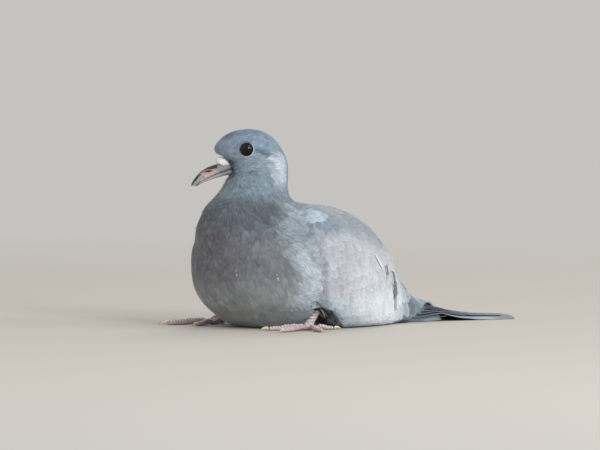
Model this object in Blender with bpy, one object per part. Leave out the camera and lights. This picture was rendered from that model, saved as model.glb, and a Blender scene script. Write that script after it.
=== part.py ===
"""A young stock dove, life size, sitting on its belly with its head turned a little to its right.

The bird faces -Y, its left side is +X and the floor is z = 0. Sizes are in millimetres and are
turned to metres where the meshes are made. The body is modelled whole from a trunk, a neck and a
head, and then parted by flat cuts. Bill, eyes, wings, tail and feet are fitted to it.
"""

import math

import bmesh
import bpy
from mathutils import Matrix, Vector

MM = 0.001
GAP = 0.3
FLOOR = 0.0

# How finely the round forms are drawn.
TRUNK_SIDES = 48
TRUNK_RINGS = 18
BREAST_TURNS = range(4, 90, 8)
NECK_SIDES = 40
NECK_RINGS = 27
HEAD_SIDES = 32
HEAD_RINGS = 25
HEAD_SQUARENESS = 2.15
CERE_FACES = (16, 10)
EYE_FACES = (14, 9)
SOCKET_SIDES = 16
SOCKET_RINGS = 8
LID_STEPS = 20
LID_SIDES = 5
TAIL_COLUMNS = 10
PRIMARY_ROWS = 8
PRIMARY_COLUMNS = 4
SHANK_SIDES = 10

# The body is an egg whose breast is a half ellipsoid round the shoulders.
SHOULDER_Y = 22.0
BREAST_LENGTH = 55.0
BODY_HALF_WIDTH = 43.5
BODY_MID_HEIGHT = 36.0
BACK_HEIGHT = 66.0
BELLY_SINK = 3.0
BREAST_ROUNDNESS = 2.2
UPPER_ROUNDNESS = 2.0
LOWER_ROUNDNESS = 3.0

# Behind the shoulders: along, back height, belly height, half width, height of the widest line.
BACK_STATIONS = (
    (22.0, 66.0, -3.0, 43.5, 36.0),
    (40.0, 63.0, -3.0, 41.0, 34.0),
    (55.0, 56.5, -3.0, 35.5, 31.0),
    (70.0, 44.5, -3.0, 26.0, 25.0),
    (84.0, 26.5, -2.5, 16.0, 15.0),
    (97.0, 13.5, -2.0, 13.0, 7.0),
    (112.0, 9.5, -2.0, 12.6, 4.5),
)
RUMP_END = 106.0

# The neck stands on the shoulders: height, distance behind its axis, half width, half length.
NECK_STATIONS = (
    (32.0, 15.0, 34.0, 44.0),
    (42.0, 10.8, 35.0, 43.6),
    (50.0, 5.6, 33.0, 39.8),
    (58.0, 1.6, 28.0, 33.6),
    (63.5, -2.4, 23.0, 27.4),
    (68.0, -3.6, 19.5, 21.0),
    (72.5, -1.6, 18.0, 18.2),
    (78.0, 0.4, 16.4, 17.0),
    (83.0, 2.4, 14.6, 14.2),
    (90.0, 1.0, 11.0, 11.0),
)

# The head points to the bird's right of straight ahead.
HEAD_TURN = math.radians(35.0)
HEAD_CENTRE = (-2.3, -2.8)

# Along the head, forward from its centre: crown height, under side, half width.
HEAD_STATIONS = (
    (-20.4, 86.6, 78.0, 4.0),
    (-17.6, 92.6, 74.0, 9.6),
    (-13.0, 99.0, 72.0, 12.2),
    (-6.2, 103.3, 72.0, 13.2),
    (2.0, 104.2, 74.0, 12.8),
    (6.0, 103.8, 76.6, 11.8),
    (9.4, 102.9, 80.4, 10.2),
    (12.6, 101.4, 85.2, 8.8),
    (15.6, 99.2, 87.8, 7.1),
    (18.4, 96.4, 89.6, 4.9),
    (19.8, 94.2, 91.4, 2.6),
)

EYE_FORWARD = 2.3
EYE_HEIGHT = 92.8
EYE_LEAN = 0.12
EYE_RADIUS = 4.6
EYE_SIDE = 8.8
EYE_OPENING = 3.45
LID_THICKNESS = 0.42

# Each bill ring spans from a point on its upper line to one on its lower line, with a half width.
UPPER_BILL = (
    ((9.5, 85.6), (9.0, 83.3), 4.4),
    ((13.0, 85.5), (12.5, 81.9), 4.3),
    ((18.0, 84.9), (16.8, 80.2), 3.7),
    ((22.0, 83.5), (20.0, 78.8), 3.2),
    ((25.6, 81.3), (23.4, 77.2), 2.8),
    ((28.5, 78.2), (26.2, 75.6), 2.3),
    ((30.4, 75.2), (28.3, 74.1), 1.7),
    ((30.9, 73.1), (29.7, 72.4), 1.1),
    ((30.8, 71.3), (30.2, 71.1), 0.4),
)
LOWER_BILL = (
    ((9.0, 82.8), (9.6, 79.6), 3.9),
    ((12.6, 81.4), (13.4, 79.0), 3.9),
    ((17.0, 79.7), (18.3, 77.7), 3.3),
    ((20.2, 78.3), (21.2, 76.7), 2.8),
    ((23.6, 76.7), (24.3, 75.5), 2.3),
    ((26.2, 75.2), (26.7, 74.2), 1.7),
    ((28.1, 73.7), (28.2, 73.3), 0.7),
)
BILL_SIDES = 14
BILL_SQUARENESS = 2.6
CERE_CENTRE = (13.5, 85.9)
CERE_SIZE = (4.2, 4.8, 2.5)
CERE_SLOPE = math.radians(-12.0)

# The wing lies on the body from its bend to behind the rump: along, upper edge, lower edge.
# The edges are angles round the body, from straight up to straight down.
WING_STATIONS = (
    (5.0, 44.0, 62.0),
    (9.0, 36.0, 92.0),
    (15.0, 29.0, 124.0),
    (24.0, 24.0, 141.0),
    (40.0, 18.0, 143.0),
    (60.0, 13.0, 143.0),
    (80.0, 10.0, 141.0),
    (94.0, 10.0, 112.0),
    (107.6, 20.0, 56.0),
)
WING_CLEARANCE = 1.0
WING_REAR_LIFT = 0.8
WING_THICKNESS = 2.4
WING_EDGE = 0.9
WING_LIFT = 0.6
WING_LOWER_ROUNDNESS = 4.8
WING_STEPS = (18, 10)
WING_CROWDING = 1.3
BEND_AT = (16.0, 43.0)
BEND_REACH = (9.0, 17.0)
BEND_BULGE = 3.2

# Tail: along, half width, top height. It lies flat on the floor from just behind the rump.
TAIL_STATIONS = (
    (RUMP_END + GAP, 12.6, 11.2),
    (114.0, 14.4, 7.8),
    (124.0, 16.2, 4.6),
    (136.0, 18.4, 3.2),
    (152.0, 21.0, 2.4),
    (162.0, 22.2, 1.8),
)
TAIL_ROWS = 9
TAIL_TIP = 170.0
TAIL_TIP_THICKNESS = 1.0

# Folded primaries: along, distance from the middle, half width, lift over the tail, thickness.
PRIMARY_STATIONS = (
    (108.0, 8.8, 5.6, 0.4, 2.4),
    (120.0, 9.6, 6.2, 0.4, 2.4),
    (136.0, 9.8, 5.2, 0.4, 2.0),
    (150.0, 10.4, 3.6, 0.4, 1.6),
    (159.0, 11.2, 1.4, 0.4, 1.0),
)

FOOT_AT = (38.0, 3.0)
FOOT_HEIGHT = 2.1
SHANK_RADIUS = 2.0
SHANK_END = (30.0, 17.0, 11.0)
# Each toe: name, angle outward from straight ahead, length, radius at its root, claw length.
TOES = (
    ("inner", -24.0, 17.0, 1.75, 4.6),
    ("middle", 22.0, 22.0, 1.9, 5.2),
    ("outer", 66.0, 18.0, 1.7, 4.6),
    ("hind", 150.0, 9.0, 1.6, 4.2),
)
TOE_ROOT = 4.1
TOE_SIDES = 7
TOE_RINGS = 7
CLAW_SIDES = 5
CLAW_RINGS = 5

BODY_VOXEL = 1.1
BODY_SMOOTHING = 12
BODY_FACES = 2450

HEAD_CUT = ((0.0, -14.0, 73.4), (0.0, 15.0, 75.4))
NECK_CUT = ((0.0, -28.0, 60.0), (0.0, 18.0, 66.6))

FEATHER_BLUE = (0.33, 0.39, 0.44)
FEATHER_BREAST = (0.19, 0.19, 0.21)
FEATHER_PALE = (0.50, 0.54, 0.58)
FEATHER_DARK = (0.20, 0.24, 0.28)
BILL_PINK = (0.45, 0.33, 0.32)
CERE_WHITE = (0.68, 0.70, 0.62)
EYE_BLACK = (0.008, 0.007, 0.006)
LID_BLUE = (0.36, 0.42, 0.46)
TOE_PINK = (0.52, 0.42, 0.42)
CLAW_HORN = (0.50, 0.45, 0.33)

SIDES = (("left", 1.0), ("right", -1.0))


def clear_scene():
    """Empties the scene."""
    for thing in list(bpy.data.objects):
        bpy.data.objects.remove(thing, do_unlink=True)


def finish(name, colour, roughness):
    """A plain material of one colour."""
    material = bpy.data.materials.new(name)
    material.use_nodes = True
    shader = material.node_tree.nodes["Principled BSDF"]
    shader.inputs["Base Color"].default_value = (*colour, 1.0)
    shader.inputs["Roughness"].default_value = roughness
    shader.inputs["Metallic"].default_value = 0.0
    return material


def place(name, mesh, material):
    """Puts a mesh in the scene as one named sub-part."""
    sub_part = bpy.data.objects.new(name, mesh)
    bpy.context.scene.collection.objects.link(sub_part)
    mesh.materials.clear()
    mesh.materials.append(material)
    mesh.shade_smooth()
    mesh.set_sharp_from_angle(angle=math.radians(50.0))
    return sub_part


def mesh_of(name, shape):
    """Turns a closed bmesh, in millimetres, to a mesh in metres with its faces outward."""
    bmesh.ops.recalc_face_normals(shape, faces=shape.faces)
    bmesh.ops.scale(shape, vec=Vector((MM, MM, MM)), verts=shape.verts)
    mesh = bpy.data.meshes.new(name)
    shape.to_mesh(mesh)
    shape.free()
    return mesh


def loft(rings):
    """A closed bmesh through rings of equal numbers of points, with its two ends filled."""
    shape = bmesh.new()
    rows = [[shape.verts.new(point) for point in ring] for ring in rings]
    for near, far in zip(rows, rows[1:]):
        for here in range(len(near)):
            after = (here + 1) % len(near)
            shape.faces.new((near[here], near[after], far[after], far[here]))
    shape.faces.new(rows[0])
    shape.faces.new(rows[-1])
    return shape


def oval(centre, across, up, count, power=2.0):
    """A ring round a centre, with two half axes. A power over 2 squares it off."""
    ring = []
    for step in range(count):
        angle = math.tau * step / count
        wide = math.copysign(abs(math.cos(angle)) ** (2.0 / power), math.cos(angle))
        high = math.copysign(abs(math.sin(angle)) ** (2.0 / power), math.sin(angle))
        ring.append(centre + across * wide + up * high)
    return ring


def between(stations, along):
    """The values of a table of stations at one place, on a smooth curve through its rows."""
    last = len(stations) - 1
    row = 0
    while row < last - 1 and along > stations[row + 1][0]:
        row += 1
    start, end = stations[row], stations[row + 1]
    before, after = stations[max(row - 1, 0)], stations[min(row + 2, last)]
    span = end[0] - start[0]
    share = min(max((along - start[0]) / span, 0.0), 1.0)
    values = []
    for column in range(1, len(start)):
        slope_in = (end[column] - before[column]) / (end[0] - before[0]) * span
        slope_out = (after[column] - start[column]) / (after[0] - start[0]) * span
        change = end[column] - start[column]
        curve = (slope_in + slope_out - 2.0 * change) * share ** 3
        curve += (3.0 * change - 2.0 * slope_in - slope_out) * share ** 2
        values.append(start[column] + slope_in * share + curve)
    return values


def body_section(along):
    """Back height, belly height, half width and height of the widest line of the trunk."""
    if along >= SHOULDER_Y:
        return between(BACK_STATIONS, along)
    ahead = ((SHOULDER_Y - along) / BREAST_LENGTH) ** BREAST_ROUNDNESS
    swell = max(1.0 - ahead, 0.0001) ** (1.0 / BREAST_ROUNDNESS)
    top = BODY_MID_HEIGHT + (BACK_HEIGHT - BODY_MID_HEIGHT) * swell
    bottom = BODY_MID_HEIGHT - (BODY_MID_HEIGHT + BELLY_SINK) * swell
    return top, bottom, BODY_HALF_WIDTH * swell, BODY_MID_HEIGHT


def body_point(along, angle, grow=0.0, lower_power=LOWER_ROUNDNESS):
    """A point of the trunk's surface, at an angle round it from straight up to the left side."""
    top, bottom, half_width, middle = body_section(along)
    power = UPPER_ROUNDNESS if math.cos(angle) > 0.0 else lower_power
    height = top + grow - middle if math.cos(angle) > 0.0 else middle - bottom
    wide = math.copysign(abs(math.sin(angle)) ** (2.0 / power), math.sin(angle))
    high = math.copysign(abs(math.cos(angle)) ** (2.0 / power), math.cos(angle))
    return Vector(((half_width + grow) * wide, along, middle + height * high))


def trunk_form():
    """The trunk from the breast to behind the rump, with no wings."""
    places = [SHOULDER_Y - BREAST_LENGTH * math.cos(math.radians(turn)) for turn in BREAST_TURNS]
    rear = BACK_STATIONS[-1][0]
    places += [SHOULDER_Y + (rear - SHOULDER_Y) * step / TRUNK_RINGS for step in range(TRUNK_RINGS + 1)]
    turns = [math.tau * step / TRUNK_SIDES for step in range(TRUNK_SIDES)]
    return loft([[body_point(along, turn) for turn in turns] for along in places])


def neck_form():
    """The neck, from inside the breast up into the head."""
    low, high = NECK_STATIONS[0][0], NECK_STATIONS[-1][0]
    rings = []
    for step in range(NECK_RINGS + 1):
        height = low + (high - low) * step / NECK_RINGS
        back, wide, long = between(NECK_STATIONS, height)
        middle = Vector((0.0, back, height))
        rings.append(oval(middle, Vector((wide, 0.0, 0.0)), Vector((0.0, long, 0.0)), NECK_SIDES))
    return loft(rings)


def head_place(forward, side, height):
    """A place given along the turned head, turned to the model's own frame."""
    ahead = Vector((-math.sin(HEAD_TURN), -math.cos(HEAD_TURN), 0.0))
    leftward = Vector((math.cos(HEAD_TURN), -math.sin(HEAD_TURN), 0.0))
    middle = Vector((*HEAD_CENTRE, height))
    return middle + ahead * forward + leftward * side


def head_form():
    """The head without its bill, a little narrower at the forehead than at the cheeks."""
    first, last = HEAD_STATIONS[0][0], HEAD_STATIONS[-1][0]
    rings = []
    for step in range(HEAD_RINGS + 1):
        forward = first + (last - first) * step / HEAD_RINGS
        crown, under, half_width = between(HEAD_STATIONS, forward)
        middle = head_place(forward, 0.0, (crown + under) / 2.0)
        across = head_place(forward, half_width, 0.0) - head_place(forward, 0.0, 0.0)
        up = Vector((0.0, 0.0, (crown - under) / 2.0))
        rings.append(oval(middle, across, up, HEAD_SIDES, HEAD_SQUARENESS))
    return loft(rings)


def whole_body():
    """Trunk, neck and head grown together to one smooth closed form."""
    together = bmesh.new()
    for form in (trunk_form(), neck_form(), head_form()):
        bmesh.ops.recalc_face_normals(form, faces=form.faces)
        piece = bpy.data.meshes.new("form")
        form.to_mesh(piece)
        form.free()
        together.from_mesh(piece)
        bpy.data.meshes.remove(piece)
    blank = bpy.data.objects.new("body_form", mesh_of("body_form", together))
    bpy.context.scene.collection.objects.link(blank)
    remesh = blank.modifiers.new("grow_together", "REMESH")
    remesh.mode = "VOXEL"
    remesh.voxel_size = BODY_VOXEL * MM
    smooth = blank.modifiers.new("soften", "SMOOTH")
    smooth.factor = 0.5
    smooth.iterations = BODY_SMOOTHING
    graph = bpy.context.evaluated_depsgraph_get()
    faces = len(blank.evaluated_get(graph).data.polygons)
    fewer = blank.modifiers.new("fewer_faces", "DECIMATE")
    fewer.ratio = BODY_FACES / (2.0 * faces)
    bpy.context.view_layer.update()
    graph = bpy.context.evaluated_depsgraph_get()
    mesh = bpy.data.meshes.new_from_object(blank.evaluated_get(graph))
    bpy.data.objects.remove(blank)
    return mesh


def kept_side(mesh, point, normal):
    """The part of a closed mesh that lies against the normal of a flat cut, with the cut filled."""
    shape = bmesh.new()
    shape.from_mesh(mesh)
    geometry = shape.verts[:] + shape.edges[:] + shape.faces[:]
    bmesh.ops.bisect_plane(
        shape, geom=geometry, dist=1e-7, plane_co=point, plane_no=normal, clear_outer=True
    )
    rim = [edge for edge in shape.edges if edge.is_boundary]
    bmesh.ops.holes_fill(shape, edges=rim, sides=0)
    result = bpy.data.meshes.new(mesh.name)
    shape.to_mesh(result)
    shape.free()
    return result


def cut_of(ends):
    """A point on a cut and its upward normal, from the cut's front and rear points."""
    front, rear = (Vector(end) * MM for end in ends)
    normal = Vector((1.0, 0.0, 0.0)).cross(rear - front).normalized()
    return front, normal


def between_cuts(body, lower, upper):
    """The slice of the body over one cut and under another, half a gap clear of each."""
    mesh = body
    if upper is not None:
        point, normal = cut_of(upper)
        mesh = kept_side(mesh, point - normal * (GAP / 2.0 * MM), normal)
    if lower is not None:
        point, normal = cut_of(lower)
        mesh = kept_side(mesh, point + normal * (GAP / 2.0 * MM), -normal)
    return mesh


def subtract(target, cutter_name, shape):
    """Cuts a shape out of a sub-part, and keeps the cutter out of the model."""
    cutter = bpy.data.objects.new(cutter_name, mesh_of(cutter_name, shape))
    bpy.context.scene.collection.objects.link(cutter)
    cutter.hide_render = True
    cutter.display_type = "WIRE"
    cut = target.modifiers.new(cutter_name, "BOOLEAN")
    cut.operation = "DIFFERENCE"
    cut.solver = "EXACT"
    cut.object = cutter


def bill_form(stations, grow=0.0):
    """One half of the bill, through rings that each join an upper and a lower point."""
    rings = []
    for row, (upper, lower, half_width) in enumerate(stations):
        longer = grow * ((row == len(stations) - 1) - (row == 0))
        top = head_place(upper[0] + longer, 0.0, upper[1])
        bottom = head_place(lower[0] + longer, 0.0, lower[1])
        lift = (top - bottom) / 2.0
        lift += lift.normalized() * grow
        across = head_place(0.0, half_width + grow, 0.0) - head_place(0.0, 0.0, 0.0)
        rings.append(oval((top + bottom) / 2.0, across, lift, BILL_SIDES, BILL_SQUARENESS))
    return loft(rings)


def cere_form(grow=0.0):
    """The swollen pad over the root of the bill."""
    shape = bmesh.new()
    bmesh.ops.create_uvsphere(shape, u_segments=CERE_FACES[0], v_segments=CERE_FACES[1], radius=1.0)
    size = [axis + grow for axis in CERE_SIZE]
    turn = Matrix.Rotation(CERE_SLOPE, 4, "X") @ Matrix.Diagonal((size[1], size[0], size[2], 1.0))
    for vert in shape.verts:
        local = turn @ vert.co
        vert.co = head_place(CERE_CENTRE[0] - local.y, local.x, CERE_CENTRE[1] + local.z)
    return shape


def eye_axis(side):
    """The eye's centre and the direction that it looks in."""
    centre = head_place(EYE_FORWARD, EYE_SIDE * side, EYE_HEIGHT)
    outward = head_place(0.0, side, 0.0) - head_place(0.0, 0.0, 0.0)
    ahead = head_place(1.0, 0.0, 0.0) - head_place(0.0, 0.0, 0.0)
    return centre, (outward + ahead * EYE_LEAN).normalized()


def eyeball(side):
    """The ball of the eye, its pole towards what it looks at."""
    centre, look = eye_axis(side)
    shape = bmesh.new()
    bmesh.ops.create_uvsphere(
        shape, u_segments=EYE_FACES[0], v_segments=EYE_FACES[1], radius=EYE_RADIUS
    )
    turn = look.to_track_quat("Z", "Y").to_matrix().to_4x4()
    bmesh.ops.transform(shape, matrix=Matrix.Translation(centre) @ turn, verts=shape.verts)
    return shape


def lid_lean():
    """How far the lid's core stands from the ball's centre, and its angle from the eye's axis."""
    reach = EYE_RADIUS + GAP + LID_THICKNESS
    return reach, math.asin((EYE_OPENING + LID_THICKNESS) / reach)


def eye_socket(side):
    """A turned cutter that clears the back of the ball and, nearer the skin, the lid round it."""
    centre, look = eye_axis(side)
    turn = look.to_track_quat("Z", "Y")
    reach, lean = lid_lean()
    ledge = reach * math.cos(lean) - LID_THICKNESS - GAP
    ball = EYE_RADIUS + GAP
    profile = []
    for step in range(1, SOCKET_RINGS + 1):
        fall = math.pi - (math.pi - math.acos(ledge / ball)) * step / SOCKET_RINGS
        profile.append((ball * math.sin(fall), ball * math.cos(fall)))
    rim = EYE_OPENING + 2.0 * LID_THICKNESS + GAP
    profile += [(rim, ledge), (rim, ball + GAP)]
    rings = []
    for radius, out in profile:
        middle = centre + turn @ Vector((0.0, 0.0, out))
        across, up = turn @ Vector((radius, 0.0, 0.0)), turn @ Vector((0.0, radius, 0.0))
        rings.append(oval(middle, across, up, SOCKET_SIDES))
    return loft(rings)


def lid_ring(side):
    """The bare rim round the eye's opening, a gap clear of the ball."""
    centre, look = eye_axis(side)
    reach, lean = lid_lean()
    turn = look.to_track_quat("Z", "Y")
    rings = []
    shape = bmesh.new()
    for step in range(LID_STEPS):
        spin = math.tau * step / LID_STEPS
        out = Vector((math.cos(spin), math.sin(spin), 0.0))
        middle = out * (reach * math.sin(lean)) + Vector((0.0, 0.0, reach * math.cos(lean)))
        ring = oval(middle, out * LID_THICKNESS, Vector((0.0, 0.0, LID_THICKNESS)), LID_SIDES)
        rings.append([shape.verts.new(centre + turn @ point) for point in ring])
    for near, far in zip(rings, rings[1:] + rings[:1]):
        for here in range(LID_SIDES):
            after = (here + 1) % LID_SIDES
            shape.faces.new((near[here], near[after], far[after], far[here]))
    return shape


def wing_form(side):
    """A folded wing: a curved shell that follows the body, thin at its edges, full at its bend."""
    rows, columns = WING_STEPS
    first, last = WING_STATIONS[0][0], WING_STATIONS[-1][0]
    layers = {"inner": [], "outer": []}
    for row in range(rows + 1):
        along = first + (last - first) * (row / rows) ** WING_CROWDING
        upper, lower = between(WING_STATIONS, along)
        clear = WING_CLEARANCE + WING_REAR_LIFT * (row / rows) ** 3
        inner, outer = [], []
        for column in range(columns + 1):
            degrees = upper + (lower - upper) * column / columns
            from_edge = min(row, rows - row, column, columns - column) / 2.0
            thick = WING_EDGE + (WING_THICKNESS - WING_EDGE) * min(from_edge, 1.0)
            near_bend = ((along - BEND_AT[0]) / BEND_REACH[0]) ** 2
            near_bend += ((degrees - BEND_AT[1]) / BEND_REACH[1]) ** 2
            thick += BEND_BULGE * math.exp(-near_bend) * min(from_edge + 0.3, 1.0)
            angle = math.radians(degrees)
            for store, grow in ((inner, clear), (outer, clear + thick)):
                point = body_point(along, angle, grow, WING_LOWER_ROUNDNESS)
                point.x *= side
                point.z = max(point.z, WING_LIFT)
                store.append(point)
        layers["inner"].append(inner)
        layers["outer"].append(outer)
    return shell_between(layers["inner"], layers["outer"])


def shell_between(inner, outer):
    """A closed plate between two grids of points of the same size."""
    shape = bmesh.new()
    low = [[shape.verts.new(point) for point in row] for row in inner]
    high = [[shape.verts.new(point) for point in row] for row in outer]
    rows, columns = len(inner) - 1, len(inner[0]) - 1
    for row in range(rows):
        for column in range(columns):
            for grid in (low, high):
                near, far = grid[row], grid[row + 1]
                shape.faces.new((near[column], near[column + 1], far[column + 1], far[column]))
    rim = [(0, column) for column in range(columns)] + [(row, columns) for row in range(rows)]
    rim += [(rows, column) for column in range(columns, 0, -1)]
    rim += [(row, 0) for row in range(rows, 0, -1)]
    for (row, column), (next_row, next_column) in zip(rim, rim[1:] + rim[:1]):
        lower = (low[row][column], low[next_row][next_column])
        shape.faces.new((*lower, high[next_row][next_column], high[row][column]))
    return shape


def tail_top(along):
    """Height of the tail's upper side on the middle line."""
    return between(TAIL_STATIONS, min(along, TAIL_STATIONS[-1][0]))[1]


def tail_form():
    """The folded tail: a low arch at the rump that flattens to a rounded fan on the floor."""
    first, last = TAIL_STATIONS[0][0], TAIL_STATIONS[-1][0]
    lower, upper = [], []
    for row in range(TAIL_ROWS + 1):
        along = first + (last - first) * row / TAIL_ROWS
        half_width, top = between(TAIL_STATIONS, along)
        low_row, high_row = [], []
        for column in range(TAIL_COLUMNS + 1):
            across = 2.0 * column / TAIL_COLUMNS - 1.0
            reach = (TAIL_TIP - last) * (1.0 - across ** 2) * (row / TAIL_ROWS) ** 2
            arch = max(1.0 - across ** 2, 0.0) ** 0.5
            height = TAIL_TIP_THICKNESS + (top - TAIL_TIP_THICKNESS) * arch
            low_row.append(Vector((half_width * across, along + reach, 0.0)))
            high_row.append(Vector((half_width * across, along + reach, height)))
        lower.append(low_row)
        upper.append(high_row)
    return shell_between(lower, upper)


def primaries_form(side):
    """The folded wing tip, a blade that lies along the tail."""
    first, last = PRIMARY_STATIONS[0][0], PRIMARY_STATIONS[-1][0]
    lower, upper = [], []
    for row in range(PRIMARY_ROWS + 1):
        along = first + (last - first) * row / PRIMARY_ROWS
        middle, half_width, lift, thick = between(PRIMARY_STATIONS, along)
        low_row, high_row = [], []
        for column in range(PRIMARY_COLUMNS + 1):
            across = 2.0 * column / PRIMARY_COLUMNS - 1.0
            base = tail_top(along) + lift
            crown = base + 0.5 + (thick - 0.5) * (1.0 - across ** 2)
            side_place = (middle + half_width * across) * side
            low_row.append(Vector((side_place, along, base)))
            high_row.append(Vector((side_place, along, crown)))
        lower.append(low_row)
        upper.append(high_row)
    return shell_between(lower, upper)


def rod(path, radii, count, upright=False):
    """A closed tube along a path of points, never lower than the floor, with upright rings or not."""
    rings = []
    for step, point in enumerate(path):
        ahead = path[min(step + 1, len(path) - 1)] - path[max(step - 1, 0)]
        if upright:
            ahead.z = 0.0
        across = ahead.cross(Vector((0.0, 0.0, 1.0))).normalized()
        up = across.cross(ahead).normalized()
        rings.append(oval(point, across * radii[step], up * radii[step], count))
    for ring in rings:
        for point in ring:
            point.z = max(point.z, FLOOR)
    return loft(rings)


def toe_forms(side, turn, length, radius, claw):
    """A toe that lies on the floor with three pads, and its curved claw."""
    foot = Vector((FOOT_AT[0], FOOT_AT[1], 0.0))
    ahead = Vector((math.sin(math.radians(turn)), -math.cos(math.radians(turn)), 0.0))
    path, radii = [], []
    for step in range(TOE_RINGS):
        share = step / (TOE_RINGS - 1)
        root = 0.72 + 0.28 * min(share * 4.0, 1.0)
        thick = radius * root * (1.0 - 0.34 * share) * (1.0 - 0.07 * math.cos(math.tau * 3.0 * share))
        lift = thick * 0.9 + 0.9 * math.sin(math.pi * min(share * 1.6, 1.0)) * (1.0 - share)
        path.append(foot + ahead * (TOE_ROOT + length * share) + Vector((0.0, 0.0, lift)))
        radii.append(thick)
    claw_path, claw_radii = [], []
    start = TOE_ROOT + length + GAP
    for step in range(CLAW_RINGS):
        share = step / (CLAW_RINGS - 1)
        thick = radius * 0.5 * (1.0 - share) + 0.25
        arch = 0.8 * math.sin(math.pi * share)
        claw_path.append(foot + ahead * (start + claw * share) + Vector((0.0, 0.0, thick + arch)))
        claw_radii.append(thick)
    for points in (path, claw_path):
        for point in points:
            point.x *= side
    return rod(path, radii, TOE_SIDES, True), rod(claw_path, claw_radii, CLAW_SIDES, True)


def shank_path(side):
    """The shank, from the spread of the toes up into the belly feathers."""
    foot = Vector((FOOT_AT[0] * side, FOOT_AT[1], FOOT_HEIGHT))
    heel = Vector((SHANK_END[0] * side, SHANK_END[1], SHANK_END[2]))
    return foot, heel


def shank_form(side, grow=0.0):
    """The scaled shank, with its ankle and its heel a little thicker."""
    foot, heel = shank_path(side)
    run = (heel - foot).normalized()
    path = [foot - run * (grow + 2.6), foot - run * 1.5, foot, foot.lerp(heel, 0.25)]
    path += [foot.lerp(heel, 0.7), heel, heel + run * (grow + 1.2)]
    radii = [0.6, 1.25, 1.4, 0.95, 0.9, 1.0, 0.5]
    radii = [SHANK_RADIUS * share + grow for share in radii]
    return rod(path, radii, SHANK_SIDES)


def centre_on_origin():
    """Moves everything so that the origin is on the floor under the middle of the whole bird."""
    graph = bpy.context.evaluated_depsgraph_get()
    corners = []
    for thing in bpy.data.objects:
        if not thing.hide_render:
            corners += [vert.co.copy() for vert in thing.evaluated_get(graph).data.vertices]
    middle = Vector((0.0, 0.0, 0.0))
    for axis in (0, 1):
        values = [corner[axis] for corner in corners]
        middle[axis] = (min(values) + max(values)) / 2.0
    for thing in bpy.data.objects:
        thing.location = -middle


def build():
    """Makes the whole bird."""
    clear_scene()
    blue = finish("blue_grey_feather", FEATHER_BLUE, 0.85)
    breast = finish("brown_grey_feather", FEATHER_BREAST, 0.88)
    pale = finish("pale_wing_feather", FEATHER_PALE, 0.8)
    dark = finish("dark_flight_feather", FEATHER_DARK, 0.7)
    horn = finish("pinkish_bill_horn", BILL_PINK, 0.45)
    white = finish("white_cere_skin", CERE_WHITE, 0.7)
    black = finish("dark_wet_eye", EYE_BLACK, 0.08)
    lid = finish("blue_grey_lid_skin", LID_BLUE, 0.55)
    toe_skin = finish("pink_toe_scale", TOE_PINK, 0.6)
    claw_horn = finish("pale_claw_horn", CLAW_HORN, 0.4)

    body = whole_body()
    floor = kept_side(body, Vector((0.0, 0.0, 0.0)), Vector((0.0, 0.0, -1.0)))
    floor = kept_side(floor, Vector((0.0, RUMP_END * MM, 0.0)), Vector((0.0, 1.0, 0.0)))
    trunk = place("trunk", between_cuts(floor, None, NECK_CUT), breast)
    place("neck", between_cuts(floor, NECK_CUT, HEAD_CUT), blue)
    head = place("head", between_cuts(floor, HEAD_CUT, None), blue)

    place("bill_upper", mesh_of("bill_upper", bill_form(UPPER_BILL)), horn)
    place("bill_lower", mesh_of("bill_lower", bill_form(LOWER_BILL)), horn)
    cere = place("cere", mesh_of("cere", cere_form()), white)
    subtract(cere, "cere_seat", bill_form(UPPER_BILL, GAP))
    subtract(head, "cere_socket", cere_form(GAP))
    subtract(head, "bill_upper_socket", bill_form(UPPER_BILL, GAP))
    subtract(head, "bill_lower_socket", bill_form(LOWER_BILL, GAP))

    for name, side in SIDES:
        place("eye_" + name, mesh_of("eye", eyeball(side)), black)
        place("eyelid_" + name, mesh_of("eyelid", lid_ring(side)), lid)
        subtract(head, "eye_socket_" + name, eye_socket(side))
        place("wing_" + name, mesh_of("wing", wing_form(side)), pale)
        place("primaries_" + name, mesh_of("primaries", primaries_form(side)), dark)
        place("shank_" + name, mesh_of("shank", shank_form(side)), toe_skin)
        subtract(trunk, "shank_pocket_" + name, shank_form(side, GAP))
        for toe, turn, length, radius, claw in TOES:
            toe_shape, claw_shape = toe_forms(side, turn, length, radius, claw)
            place("toe_" + toe + "_" + name, mesh_of("toe", toe_shape), toe_skin)
            place("claw_" + toe + "_" + name, mesh_of("claw", claw_shape), claw_horn)
    place("tail", mesh_of("tail", tail_form()), dark)
    centre_on_origin()


build()
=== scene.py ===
"""Looks of a young stock dove at rest, a still life-size bird: skin, coat of feathers, bill, eyes and feet.

Sizes are in millimetres, and meshes in metres. The bird looks along -Y, its tail runs to +Y, and its left is
+X. Places on the body are given from NECK, a point on the floor under the neck, and places on the head from
the point between the eyes.
"""

import math

import bmesh
import bpy
import numpy as np
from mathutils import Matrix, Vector
from mathutils.bvhtree import BVHTree
from mathutils.kdtree import KDTree


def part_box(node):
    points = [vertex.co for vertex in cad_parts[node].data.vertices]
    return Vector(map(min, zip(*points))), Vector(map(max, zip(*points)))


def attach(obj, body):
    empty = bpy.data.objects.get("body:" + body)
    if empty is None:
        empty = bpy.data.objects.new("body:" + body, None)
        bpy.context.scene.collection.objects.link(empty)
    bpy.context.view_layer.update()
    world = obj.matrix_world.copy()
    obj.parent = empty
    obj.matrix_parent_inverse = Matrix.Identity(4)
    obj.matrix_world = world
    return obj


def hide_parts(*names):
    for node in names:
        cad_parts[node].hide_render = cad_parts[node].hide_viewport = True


MM = 0.001
UP = np.array((0.0, 0.0, 1.0))

# How deep the skin lies inside the CAD's outline, and how far the nodes swell first to close up.
COAT_DEPTH = 0.9
CLOSING = 0.7
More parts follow.
